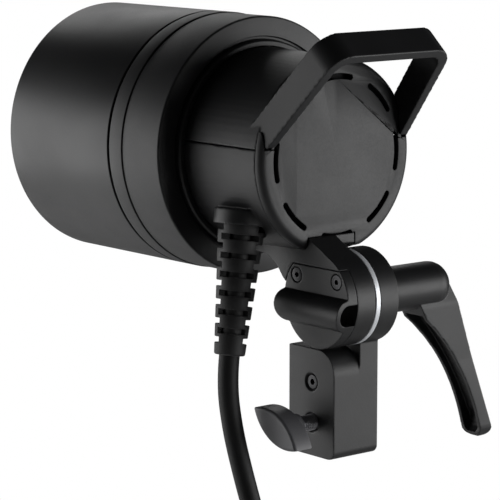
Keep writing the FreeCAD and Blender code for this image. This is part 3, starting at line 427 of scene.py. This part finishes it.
def circuit_board(name, colour):
    """Solder mask over faint copper tracks, with tinned pads."""
    make = Shader(name)
    tracks = make.between(make.cells(260.0, "DISTANCE_TO_EDGE"), 0.03, 0.06, 1.0, 0.0)
    pads = make.between(make.cells(420.0), 0.10, 0.13, 1.0, 0.0)
    mask = make.blend(tracks, colour, tint(colour, 1.7))
    make.set(Base_Color=make.blend(pads, mask, (0.62, 0.60, 0.55)),
             Roughness=make.between(pads, 0.0, 1.0, 0.32, 0.45),
             Metallic=make.math("MULTIPLY", pads, 0.9))
    make.bump(make.math("ADD", tracks, pads), 0.3, 0.0001)
    return make.material


BLACKS = ("cap_plastic", "housing_plastic", "rear_plastic", "bracket_metal", "knob_plastic", "boot_rubber",
          "cord_rubber", "plug_plastic")


def make_materials():
    """One material for each slot, with the record's colours set for this lighting; the knob's colour is raised
    well above the other blacks as painted light for the light falling on its face.
    """
    colours = {entry["slot"]: tuple(entry["base_color"][:3]) for entry in frame["record"]["materials"]}
    for slot in BLACKS:
        colours[slot] = tint(colours[slot], 0.25)
    # Painted light: the whole knob is lightened far above its dark plastic to stand in for the light that falls
    # on its lens-shaped face.
    colours["knob_plastic"] = tint(colours["knob_plastic"], 14.0)
    colours["washer_silver"] = tint(colours["washer_silver"], 1.05)
    brushed = (1.0, 18.0, 18.0)
    settings = {
        "cap_plastic": dict(rough=0.42, grain=1900.0, depth=0.00003, wear=0.25, specular=0.5),
        "housing_plastic": dict(rough=0.5, grain=1500.0, depth=0.00005, wear=0.25),
        "rear_plastic": dict(rough=0.52, grain=1300.0, depth=0.00006, wear=0.3),
        "mount_metal": dict(rough=0.34, metal=1.0, grain=700.0, stretch=brushed, wear=0.2),
        "reflector_metal": dict(rough=0.2, metal=1.0, grain=900.0, stretch=brushed, mottle=0.05, wear=0.0),
        "ceramic": dict(rough=0.3, mottle=0.05, coat=0.4, wear=0.0),
        "led_yellow": dict(rough=0.25, mottle=0.1, coat=0.5, wear=0.0),
        "brass": dict(rough=0.3, metal=1.0, grain=800.0, stretch=brushed, mottle=0.18, wear=0.3),
        "fixing_steel": dict(rough=0.32, metal=1.0, grain=900.0, mottle=0.2, wear=0.4),
        "spring_steel": dict(rough=0.28, metal=1.0, grain=1200.0, wear=0.2),
        "black_screw": dict(rough=0.38, metal=0.6, grain=1400.0, wear=0.6, worn=(0.25, 0.25, 0.26)),
        "transformer_blue": dict(rough=0.35, coat=0.3, wear=0.2),
        "fan_plastic": dict(rough=0.45, wear=0.2),
        "bracket_metal": dict(rough=0.46, specular=0.4, grain=1100.0, depth=0.00007, strength=0.4, wear=0.4,
                              worn=(0.17, 0.17, 0.18)),
        "washer_silver": dict(rough=0.45, metal=0.4, grain=1000.0, stretch=(18.0, 1.0, 1.0), mottle=0.12,
                              wear=0.2),
        "knob_plastic": dict(rough=0.45, grain=1500.0, wear=0.3),
        "boot_rubber": dict(rough=0.6, grain=1000.0, depth=0.00006, mottle=0.25, wear=0.3, sheen=0.1),
        "cord_rubber": dict(rough=0.55, specular=0.25, grain=1300.0, depth=0.00004, mottle=0.2, wear=0.0),
        "plug_plastic": dict(rough=0.5, grain=1300.0, wear=0.3),
        "plug_metal": dict(rough=0.34, metal=0.8, grain=1000.0, wear=0.6, worn=(0.4, 0.4, 0.42)),
    }
    made = {slot: surface(slot, colours[slot], **values) for slot, values in settings.items()}
    made["dome_glass"] = glass("dome_glass", colours["dome_glass"], 0.02, 0.06)
    made["tube_glass"] = glass("tube_glass", colours["tube_glass"], 0.08, 0.08)
    made["mesh_dark"] = dust_mesh("mesh_dark", colours["mesh_dark"])
    made["tie_strap"] = strap("tie_strap", colours["tie_strap"])
    made["board_green"] = circuit_board("board_green", colours["board_green"])
    return made


MATERIALS = make_materials()
for entry in frame["record"]["subparts"]:
    node = frame["nodes"][entry["node"]]
    node.data.materials.clear()
    node.data.materials.append(MATERIALS[entry["material_slot"]])


# ------------------------------------------------------ camera, lights and floor
def floor_paint():
    """White to the eye; what it throws back up at the object is that of a pale grey floor."""
    make = Shader("floor_paint")
    make.set(Base_Color=make.blend(make.noise(2.0), (0.62, 0.62, 0.62), (0.68, 0.68, 0.68)), Roughness=0.9)
    glow = make.add("ShaderNodeEmission", Strength=1.0)
    seen = make.add("ShaderNodeLightPath").outputs["Is Camera Ray"]
    mix = make.add("ShaderNodeMixShader")
    make.put(mix.inputs[0], seen)
    make.put(mix.inputs[1], make.shader.outputs[0])
    make.put(mix.inputs[2], glow.outputs[0])
    output = make.tree.nodes["Material Output"]
    make.put(output.inputs["Surface"], mix.outputs[0])
    return make.material


def stage():
    """Camera from behind on the cable side, a pale floor and plain soft lights."""
    azimuth = math.radians(140.4)
    elevation = math.radians(9.3)
    distance = 1.1558
    lens = 180.0
    aside = 0.0404
    below = 0.0432
    back = Vector((math.sin(azimuth) * math.cos(elevation), -math.cos(azimuth) * math.cos(elevation),
                   math.sin(elevation)))
    right = Vector((math.cos(azimuth), math.sin(azimuth), 0))
    up = back.cross(right)
    plate_centre = Vector((0, REAR_Y, HEAD_Z)) * MM
    centre = plate_centre - right * aside - up * below
    camera = bpy.data.objects.new("camera", bpy.data.cameras.new("camera"))
    camera.data.lens = lens
    camera.data.sensor_width = 36.0
    camera.data.clip_start = 0.05
    camera.location = centre + back * distance
    camera.rotation_mode = "QUATERNION"
    camera.rotation_quaternion = back.to_track_quat("Z", "Y")
    bpy.context.scene.collection.objects.link(camera)
    bpy.context.scene.camera = camera

    floor_reach = 15000.0
    floor_gap = 0.004
    bm = bmesh.new()
    bmesh.ops.create_grid(bm, x_segments=2, y_segments=2, size=floor_reach)
    floor = piece_from("floor", bm)
    floor.location.z = cad_box[0].z - floor_gap
    floor.data.materials.append(floor_paint())

    aim = Vector((0, -0.03, 0.12))

    def area(name, way, radiance, width, height, reach):
        """A soft panel that faces the object from a direction; its height lies upright."""
        light = bpy.data.objects.new(name, bpy.data.lights.new(name, "AREA"))
        light.data.shape = "RECTANGLE"
        light.data.size = width
        light.data.size_y = height
        light.data.energy = radiance * math.pi * width * height
        way = Vector(way).normalized()
        light.location = aim + way * reach
        light.rotation_mode = "QUATERNION"
        light.rotation_quaternion = way.to_track_quat("Z", "Y")
        bpy.context.scene.collection.objects.link(light)
        return light

    area("left_panel", (0.66, -0.75, -0.06), 2.5, 1.0, 0.5, 0.85)
    area("right_panel", (-0.64, 0.77, -0.06), 3.9, 1.0, 0.5, 0.85)
    area("rim_panel", (-0.47, -0.77, 0.46), 2.1, 0.9, 0.35, 1.3)
    floor_panel = area("floor_panel", (0.60, -0.75, -0.1), 1.7, 0.7, 0.7, 0.65)
    floor_panel.rotation_quaternion = (1, 0, 0, 0)
    world = bpy.data.worlds.new("room")
    world.use_nodes = True
    world.node_tree.nodes["Background"].inputs["Color"].default_value = (1, 1, 1, 1)
    world.node_tree.nodes["Background"].inputs["Strength"].default_value = 0.02
    bpy.context.scene.world = world
    bpy.context.scene.view_settings.view_transform = "Standard"
    return right


VIEW_RIGHT = stage()

# ------------------------------------------------------------------------ cable
BOOT_START = Vector((35.9, -23.5, 112.0))
BOOT_WAY = Vector((10.7, 3.5, -63.0)).normalized()
BOOT_LENGTH = 64.0
BOOT_END = BOOT_START + BOOT_WAY * BOOT_LENGTH
COIL_CENTRE = Vector((46.0, 66.0, -92.0))
OUTER_RING = 59.85
INNER_RING = 50.15
COIL_TURNS = 5
TURN_POINTS = 16
SIDE = Vector((-VIEW_RIGHT.x, -VIEW_RIGHT.y, 0))


def coil_points():
    """Control points of the coil: an outer turn, three inner turns side by side, an outer turn."""
    lanes = [(-CORD_RADIUS, OUTER_RING), (-2 * CORD_RADIUS, INNER_RING), (0.0, INNER_RING),
             (2 * CORD_RADIUS, INNER_RING), (CORD_RADIUS, OUTER_RING)]
    grow = 1 / math.cos(math.pi / TURN_POINTS)
    crossing = 0.24
    points = []
    for step in range(1, COIL_TURNS * TURN_POINTS):
        turns = step / TURN_POINTS
        lane = min(int(turns + 0.5), COIL_TURNS - 1)
        before = max(lane - 1, 0)
        change = min(1.0, max(0.0, (turns - lane + crossing / 2) / crossing)) if lane else 1.0
        change = change * change * (3 - 2 * change)
        across = lanes[before][0] + (lanes[lane][0] - lanes[before][0]) * change
        reach = (lanes[before][1] + (lanes[lane][1] - lanes[before][1]) * change) * grow
        turn = 2 * math.pi * turns
        points.append(COIL_CENTRE + Vector((across, -reach * math.cos(turn), -reach * math.sin(turn))))
    return points


def supply_cable():
    """The cable as one smooth line: boot, coil and the free end down to the plug."""
    entry = COIL_CENTRE + Vector((-CORD_RADIUS, -OUTER_RING, 0))
    leave = COIL_CENTRE + Vector((CORD_RADIUS, -OUTER_RING, 0))
    route = [BOOT_END, BOOT_END + BOOT_WAY * 13.0, Vector((48.1, -16.2, 15.5)), Vector((46.2, -10.6, -6.0)),
             Vector((43.4, -3.6, -30.0)), Vector((41.4, 0.9, -61.5)), entry]
    tail = [leave, leave + Vector((0.6, -1.6, -21.5)), leave + Vector((1.0, -2.2, -44.0)),
            leave + Vector((1.0, -2.2, -64.0))]
    points = route + coil_points() + tail
    curve = bpy.data.curves.new("supply_cable", "CURVE")
    curve.dimensions = "3D"
    curve.bevel_depth = CORD_RADIUS * MM
    curve.bevel_resolution = 8
    curve.resolution_u = 8
    curve.use_fill_caps = True
    spline = curve.splines.new("NURBS")
    spline.points.add(len(points) - 1)
    for spot, point in zip(spline.points, points):
        spot.co = (*(point * MM), 1.0)
    spline.order_u = 3
    spline.use_endpoint_u = True
    cable = bpy.data.objects.new("supply_cable", curve)
    bpy.context.scene.collection.objects.link(cable)
    curve.materials.append(MATERIALS["cord_rubber"])
    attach(cable, "head")
    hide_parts("supply_cord", "cord_coil", "cord_tail")
    return cable, tail[-1]


def boot():
    """Tapered rubber boot: slots on its front and back between notches in its sides."""
    top_radius = 11.2
    end_radius = 7.2
    notches = 7
    pitch = 8.7
    first_notch = 4.85
    first_slot = 0.5
    notch_turn = 0.72
    slot_turn = 0.98
    core = 5.35
    outside = 15
    gap = 2.7
    turn = Matrix((SIDE, BOOT_WAY.cross(SIDE).normalized(), BOOT_WAY)).transposed()
    turn.col[0] = turn.col[1].cross(turn.col[2])

    def sector(name, middle, half_turn, level):
        """A cut across the boot's wall about one angle, from the core outwards."""
        start = middle - half_turn
        end = middle + half_turn
        outline = [(core * math.cos(a), core * math.sin(a)) for a in
                   (start + (end - start) * step / 10 for step in range(11))]
        outline += [(outside * math.cos(a), outside * math.sin(a)) for a in
                    (end - (end - start) * step / 6 for step in range(7))]
        return prism(name, outline, level - gap / 2, level + gap / 2, "Z")

    profile = rounded([(0.0, 0.0), (top_radius, 0.0, 0.8), (end_radius, BOOT_LENGTH, 1.0),
                       (CORD_RADIUS + 0.35, BOOT_LENGTH, 0.3), (CORD_RADIUS + 0.3, BOOT_LENGTH - 6, 0.2),
                       (0.0, BOOT_LENGTH - 6)], closed=False)
    body = lathe("strain_relief_boot", profile, (0, 0, 0), "Z", closed=False, segments=72)
    cutters = []
    for number in range(notches):
        for middle in (0.0, math.pi):
            cutters.append(sector("notch", middle, notch_turn, first_notch + number * pitch))
        for middle in (math.pi / 2, -math.pi / 2):
            cutters.append(sector("slot", middle, slot_turn, first_slot + number * pitch))
    body = carved(body, joined("boot_cutters", cutters))
    bevelled(body, 0.3, segments=2)
    body.data.transform(Matrix.Translation(BOOT_START * MM) @ turn.to_4x4())
    finished(body, "head", "boot_rubber", "strain_relief")


def coil_tie():
    """Strap wrapped round the coil's bundle at its top, with the lapped end standing off."""
    width = 14.0
    thick = 1.2
    middle = (OUTER_RING + INNER_RING) / 2
    centre_x = COIL_CENTRE.x
    centre_z = COIL_CENTRE.z + middle
    wide = 3 * CORD_RADIUS + 0.6
    tall = 2 * CORD_RADIUS + 0.5
    narrow = 2 * CORD_RADIUS + 1.4
    shoulder = 1.2
    bend = 4.6
    slight_bend = 3.5

    def loop(grow):
        """The strap's outline round the three lower and two upper turns, wider by grow."""
        corners = [(-wide - grow, -tall - grow, bend + grow), (wide + grow, -tall - grow, bend + grow),
                   (wide + grow, shoulder, slight_bend + grow), (narrow + grow, tall + grow, bend + grow),
                   (-narrow - grow, tall + grow, bend + grow), (-wide - grow, shoulder, slight_bend + grow)]
        return [(centre_x + x, centre_z + z) for x, z in rounded(corners)]

    low = COIL_CENTRE.y - width / 2
    high = COIL_CENTRE.y + width / 2
    inside = prism("inside", loop(0.0), low - 1, high + 1, "Y")
    band = carved(prism("coil_strap", loop(thick), low, high, "Y"), inside)
    lap_low = centre_z + tall + thick
    lap_high = lap_low + 1.1
    lap = prism("lap", rounded([(centre_x - 9, lap_low, 0.2), (centre_x + 7.5, lap_low, 0.2),
                                (centre_x + 8.5, lap_high, 0.4), (centre_x - 9, lap_high, 0.4)]),
                low + 0.4, high - 0.4, "Y")
    fused(band, lap)
    bevelled(band, 0.3, segments=2)
    finished(band, "head", "tie_strap", "coil_tie")


def plug(top):
    """Round connector with its locking sleeve and pins."""
    sleeve_radius = 14.4
    grip_top = -25.6
    grip_end = -42.4
    groove_depth = 0.35
    grooves = 24
    profile = [(CORD_RADIUS + 0.2, -2.0), (5.6, -0.4), (6.4, -0.6), (6.6, -3.0)]
    profile += rounded([(6.6, -3.0), (8.0, -12.0, 4.0), (12.5, -18.0, 1.6), (12.5, -22.4, 0.3),
                        (12.3, -22.6, 0.2), (12.3, -45.4, 0.3), (10.5, -46.0, 0.5), (10.5, -58.0, 0.5),
                        (8.9, -58.0, 0.3), (8.9, -48.0, 0.5), (0.0, -48.0)], closed=False)[1:]
    body = lathe("plug_housing", profile, top, "Z", closed=False, segments=144)
    finished(body, "head", "plug_plastic", "plug_body")

    def knurl(turn, station, radius):
        """Crossed grooves on the sleeve's grip."""
        if radius < 14 or not grip_end < station < grip_top:
            return 0.0
        rising = abs(math.sin(turn * grooves + station * 1.1))
        falling = abs(math.sin(turn * grooves - station * 1.1))
        return -groove_depth * rising * falling

    outer = [(sleeve_radius, grip_end + 0.6 * step) for step in range(29)]
    ring = rounded([(12.6, -44.0, 0.3), (13.9, -44.0, 0.4), (sleeve_radius, -43.2, 0.3)], closed=False) + outer
    ring += rounded([(sleeve_radius, -24.9, 0.3), (13.9, -24.0, 0.4), (12.6, -24.0, 0.3)], closed=False)
    sleeve = lathe("locking_sleeve", ring, top, "Z", segments=192, ridges=knurl)
    finished(sleeve, "plug_ring", "plug_metal", "plug_sleeve")

    pin_profile = rounded([(0.0, -57.0), (1.1, -57.0, 0.8), (1.1, -48.1), (0.0, -48.1)], closed=False)
    outer_pins = 6
    pin_ring = 5.6
    pins = []
    for number in range(outer_pins + 1):
        turn = 2 * math.pi * number / outer_pins
        reach = 0.0 if number == outer_pins else pin_ring
        at = Vector(top) + Vector((reach * math.cos(turn), reach * math.sin(turn), 0))
        pins.append(lathe("pin", pin_profile, at, "Z", closed=False, segments=20))
    finished(joined("contact_pins", pins), "head", "brass", "plug_pins")


cable, cable_end = supply_cable()
boot()
coil_tie()
plug(cable_end)


# ---------------------------------------------------------------- cap and front
def cap():
    """Deep cup with a softly rounded front edge."""
    wall = 2.5
    inside = CAP_RADIUS - wall
    profile = rounded([(0.0, CAP_FRONT), (CAP_RADIUS, CAP_FRONT, 2.6), (CAP_RADIUS, CAP_REAR, 0.5),
                       (inside, CAP_REAR, 0.5), (inside, CAP_FRONT + wall, 2.0), (0.0, CAP_FRONT + wall)],
                      closed=False)
    piece = lathe("front_cap", profile, HEAD, "Y", closed=False, segments=256)
    finished(piece, "cap", "cap_plastic", "cap_shell")


def front_rings():
    """Collar behind the cap, and the wide band with its rear wall, groove and lip."""
    collar_rear = -81.3
    collar_front = -91.0
    collar_inside = 59.2
    band_radius = 62.0
    band_front = -81.0
    band_rear = -53.5
    ring = rounded([(collar_inside, collar_rear, 0.3), (CAP_RADIUS, collar_rear, 0.45),
                    (CAP_RADIUS, collar_front, 0.45), (collar_inside, collar_front, 0.3)])
    collar = lathe("mount_collar", ring, HEAD, "Y", segments=256)
    finished(collar, "head", "housing_plastic", "front_collar")
    profile = rounded([(band_radius, band_front, 0.4), (band_radius, band_rear, 1.0), (52.4, band_rear, 0.3),
                       (52.2, -55.2, 0.3), (50.9, -55.2, 0.3), (50.7, -52.4, 0.6), (50.0, -51.5, 0.6),
                       (47.8, -51.5, 0.3), (47.8, -56.5), (59.0, -57.0, 1.0), (59.0, band_front, 0.2)])
    band = lathe("wide_band", profile, HEAD, "Y", segments=256)
    window = block("window", (-70, -78.5, HEAD_Z - 5.4), (-50, -58.5, HEAD_Z + 5.4), 1.6)
    finished(carved(band, window), "head", "housing_plastic", "front_housing")


def slider():
    """Release slider: a ribbed grip on its carrier, with the locking pin."""
    groove_width = 1.1
    grip = block("release_grip", (-63.2, -77, HEAD_Z - 5), (-57.5, -65, HEAD_Z + 5), 1.2)
    grooves = [block("groove", (-64, y, HEAD_Z - 6), (-62.5, y + groove_width, HEAD_Z + 6), 0.4, "Z")
               for y in (-75.2, -72.9, -70.6, -68.3)]
    bevelled(carved(grip, *grooves), 0.3, segments=2)
    base = block("base", (-58.2, -78.5, HEAD_Z - 7), (-56.8, -63.8, HEAD_Z + 7), 1.0)
    bevelled(base, 0.2, segments=2)
    carrier = block("carrier", (-56.9, -78.5, HEAD_Z - 3), (-51.6, -72, HEAD_Z + 3), 0.6)
    bevelled(carrier, 0.3, segments=2)
    pin = lathe("pin", rounded([(0.0, -94.2), (1.8, -94.2, 0.8), (1.8, -70.2), (0.0, -70.2)], closed=False),
                (-54, 0, HEAD_Z), "Y", closed=False, segments=24)
    finished(joined("release_catch", [grip, base, carrier, pin]), "slider", "fan_plastic", "release_slider")


cap()
front_rings()
slider()


# ------------------------------------------------------------ neck, handle, rear
def neck():
    """The two halves of the neck, with every edge softened; the upper one carries the handle."""
    upper = melted(cad_copy("upper_shell", "upper_housing"), 0.5, rounds=4, keep=0.6)
    finished(upper, "head", "housing_plastic", "upper_shell")
    lower = melted(cad_copy("lower_shell", "lower_housing"), 0.5, rounds=3, keep=0.4)
    finished(lower, "head", "housing_plastic", "lower_shell")


def rear_plate():
    """Round plate with a rolled edge, eight curved vents, and notches for handle and foot."""
    slot_ring = 37.2
    half_width = 1.25
    half_turn = math.radians(12.5)
    radius = 46.0
    front = -2.4
    profile = rounded([(0.0, REAR_Y), (radius, REAR_Y, 3.7), (radius, front, 0.3), (radius - 2.7, front, 0.2),
                       (radius - 2.7, -7.4, 0.3), (radius - 4.1, -7.4, 0.3),
                       (radius - 4.1, REAR_Y - 3.2, 0.6), (radius - 5.1, REAR_Y - 2.2, 0.6),
                       (0.0, REAR_Y - 2.2)], closed=False)
    plate = lathe("rear_plate", profile, HEAD, "Y", closed=False, segments=224)
    cutters = []
    for number in range(8):
        middle = number * math.pi / 4

        def spot(reach, turn):
            return (reach * math.cos(middle + turn), HEAD_Z + reach * math.sin(middle + turn))

        outline = [spot(slot_ring + half_width, half_turn * (1 - step / 6)) for step in range(13)]
        outline += arc_through(spot(slot_ring + half_width, -half_turn),
                               spot(slot_ring, -half_turn - half_width / slot_ring),
                               spot(slot_ring - half_width, -half_turn), 8)
        outline += [spot(slot_ring - half_width, half_turn * (step / 6 - 1)) for step in range(1, 13)]
        outline += arc_through(spot(slot_ring - half_width, half_turn),
                               spot(slot_ring, half_turn + half_width / slot_ring),
                               spot(slot_ring + half_width, half_turn), 8)[:-1]
        cutters.append(prism("slot", outline, REAR_Y - 6, REAR_Y + 3, "Y"))
    plate = carved(plate, joined("slots", cutters))
    foot = block("foot_notch", (-11.3, -20, HEAD_Z - 60), (17.9, 20, 103.7), 0.3, "Y")
    skirt = block("skirt_notch", (-13.7, -20, HEAD_Z - 60), (20.3, front, 106.1), 0.3, "Y")
    sweep = lathe("sweep", [(0, -20), (23.6, -20), (23.6, 25), (0, 25)], HUB, "X", closed=False, segments=120)
    lean_angle = math.radians(42)
    half_depth = 7.5
    seam = HEAD_Z + 6.0
    leg_outside = 43.6
    leg_inside = 38.4
    handle = block("handle_space", (-leg_outside, -7.6, -40), (leg_outside, 7.6, 80))
    handle = carved(handle, block("between_legs", (-leg_inside, -12, -50), (leg_inside, 12, 90)))
    shift = Vector((0, REAR_Y - half_depth * math.cos(lean_angle), seam + half_depth * math.sin(lean_angle)))
    handle.data.transform(Matrix.Translation(shift * MM) @ Matrix.Rotation(-lean_angle, 4, "X"))
    handle = carved(handle, block("below_seam", (-70, -60, HEAD_Z - 90), (70, 60, seam)))
    plate = merged_flats(carved(plate, foot, skirt, sweep, handle))
    bevelled(plate, 0.35)
    finished(plate, "head", "rear_plastic", "rear_cover", flat_faces=True)


neck()
rear_plate()


# ------------------------------------------------------------------ tilt bracket
def socket_screw(name, at, axis, head, height, hexagon, depth, shank, length):
    """Cap screw with a hexagon socket; its head's outer face is at the point."""
    profile = rounded([(0.0, 0.0), (head, 0.0, 0.35), (head, -height, 0.1), (shank, -height, 0.1),
                       (shank, -length), (0.0, -length)], closed=False)
    body = lathe(name, profile, (0, 0, 0), "Z", closed=False, segments=48)
    turns = [step * math.pi / 3 for step in range(6)]
    outline = [(hexagon * math.cos(turn), hexagon * math.sin(turn)) for turn in turns]
    body = carved(body, prism("hexagon", outline, -depth, 1.0, "Z"))
    body.data.transform(frame_along(axis, Vector(at) * MM))
    return body


def tilt_parts():
    """Foot and hub disc, the side plate with the umbrella rib and its screws, and the washer."""
    arm = melted(cad_copy("tilt_arm", "tilt_casting"), 0.35)
    finished(arm, "head", "bracket_metal", "tilt_arm")
    side = melted(cad_copy("umbrella_plate", "umbrella_clip"), 0.28, rounds=3)
    finished(side, "head", "bracket_metal", "umbrella_plate")
    screws = [socket_screw("screw", (17.45, HUB.y + way * 13.8, HUB.z + 10.5), (1, 0, 0), head=3.45, height=2.8,
                           hexagon=1.45, depth=2.0, shank=1.85, length=10.5) for way in (-1, 1)]
    finished(joined("clip_screws", screws), "head", "black_screw", "umbrella_screws")
    ring = rounded([(4.2, -2.2, 0.2), (22.7, -2.2, 0.4), (22.7, 0.6, 0.4), (4.2, 0.6, 0.2)])
    washer = lathe("silver_washer", ring, HUB, "X", segments=200)
    finished(washer, "bracket", "washer_silver", "friction_washer")


def bracket():
    """Block with the stand socket and the ear, and its set screw."""
    body = melted(cad_copy("bracket_body", "stand_bracket"), 0.35)
    finished(body, "bracket", "bracket_metal", "bracket_body")
    grub = socket_screw("set_screw", (13.0, 0, 35.0), (1, 0, 0), head=3.36, height=4.0, hexagon=1.7, depth=2.4,
                        shank=3.3, length=4.6)
    finished(grub, "bracket", "black_screw", "grub_screw")


def threaded_rod(name, start, length, crest, root, pitch, at):
    """A helical thread, as a height field round the rod."""
    around = 40
    rows_a_turn = 10
    along = int(length / pitch * rows_a_turn)
    bm = bmesh.new()
    rings = []
    for row in range(along + 1):
        station = start + length * row / along
        ring = []
        for step in range(around):
            turn = 2 * math.pi * step / around
            phase = (station / pitch - step / around) % 1.0
            reach = root + (crest - root) * min(1.0, 2.3 * min(phase, 1 - phase))
            spot = Vector((station, reach * math.cos(turn), reach * math.sin(turn)))
            ring.append(bm.verts.new(Vector(at) + spot))
        rings.append(ring)
    for low, high in zip(rings, rings[1:]):
        for step in range(around):
            after = (step + 1) % around
            bm.faces.new((low[step], low[after], high[after], high[step]))
    bm.faces.new(rings[0])
    bm.faces.new(list(reversed(rings[-1])))
    return piece_from(name, bm)


def clamp_screw():
    """Threaded rod and the lens-shaped knob on it."""
    rod = threaded_rod("clamp_rod", start=10.75, length=17.7, crest=3.9, root=3.3, pitch=1.25, at=(0, 0, 15.8))
    finished(rod, "clamp_handle", "fixing_steel", "clamp_thread", angle=60)
    knob = melted(cad_copy("clamp_knob", "clamp_grip"), 0.28, rounds=3)
    finished(knob, "clamp_handle", "knob_plastic", "clamp_knob")


def lever():
    """Clamp lever: a hub with a rounded end that flows into a curved arm with a long pocket."""
    width = 14.0
    y = HUB.y
    z = HUB.z
    profile = rounded([(0.0, -62.5), (11.0, -62.5, 9.5), (11.0, -15.7, 0.8), (0.0, -15.7)], closed=False)
    hub = lathe("tilt_lever", profile, HUB, "X", closed=False, segments=96)

    def spot(x, drop):
        return (x, z - drop)
    outline = [spot(-40.0, 6.0)]
    outline += arc_through(spot(-43.0, 14.0), spot(-66.5, 38.0), spot(-83.4, 74.3), 24)
    outline += arc_through(spot(-83.4, 74.3), spot(-87.6, 79.5), spot(-90.5, 72.8), 8)
    outline += [spot(-62.4, 0.6)]
    outline += arc_through(spot(-62.4, 0.6), spot(-60.0, -6.5), spot(-53.0, -9.5), 8)
    rim = 2.1
    tip = z - 79.6

    def side_shape(name, inset, corner):
        """The arm from its end: as wide as the hub at the top, narrow and round at the tip."""
        half = width / 2 - inset
        wide = 8.4 - inset
        right = [(y + half, tip + inset, corner), (y + half, z - 38.0, 40.0), (y + wide, z - 9.0, 8.0),
                 (y + 3.0, z + 9.8)]
        left = [(2 * y - u[0], *u[1:]) for u in reversed(right)]
        return prism(name, rounded(right + left), -110, 0, "X")

    arm = prism("arm", outline, y - 12, y + 12, "Y")
    arm = boolean(arm, [side_shape("arm_side", 0.0, 6.6)], "INTERSECT")
    pocket = [spot(-30.0, 14.0), spot(-52.0, 14.0)]
    pocket += arc_through(spot(-52.0, 14.0), spot(-70.5, 38.0), spot(-85.8, 66.0), 20)
    pocket += arc_through(spot(-85.8, 66.0), spot(-87.2, 74.0), spot(-83.0, 77.4), 6)
    pocket += [spot(-40.0, 77.4)]
    hollow = prism("pocket", pocket, y - 12, y + 12, "Y")
    hollow = boolean(hollow, [side_shape("pocket_side", rim, 4.6)], "INTERSECT")
    arm = carved(arm, hollow)
    piece = fused(hub, arm)
    room = lathe("room", [(0.0, -70.0), (5.6, -70.0), (5.6, -46.0), (0.0, -46.0)], HUB, "X", closed=False,
                 segments=64)
    nut = lathe("nut", [(0.0, -36.4), (7.3, -36.4), (7.3, -10.0), (0.0, -10.0)], HUB, "X", closed=False,
                segments=64)
    piece = melted(carved(piece, room, nut), 0.33, keep=0.4)
    finished(piece, "lever", "bracket_metal", "clamp_lever")
    screw = socket_screw("lever_bolt", (-59.4, y, z), (-1, 0, 0), head=5.2, height=3.4, hexagon=2.3, depth=2.0,
                         shank=2.5, length=27.2)
    finished(screw, "clutch", "black_screw", "lever_screw")


tilt_parts()
bracket()
clamp_screw()
lever()
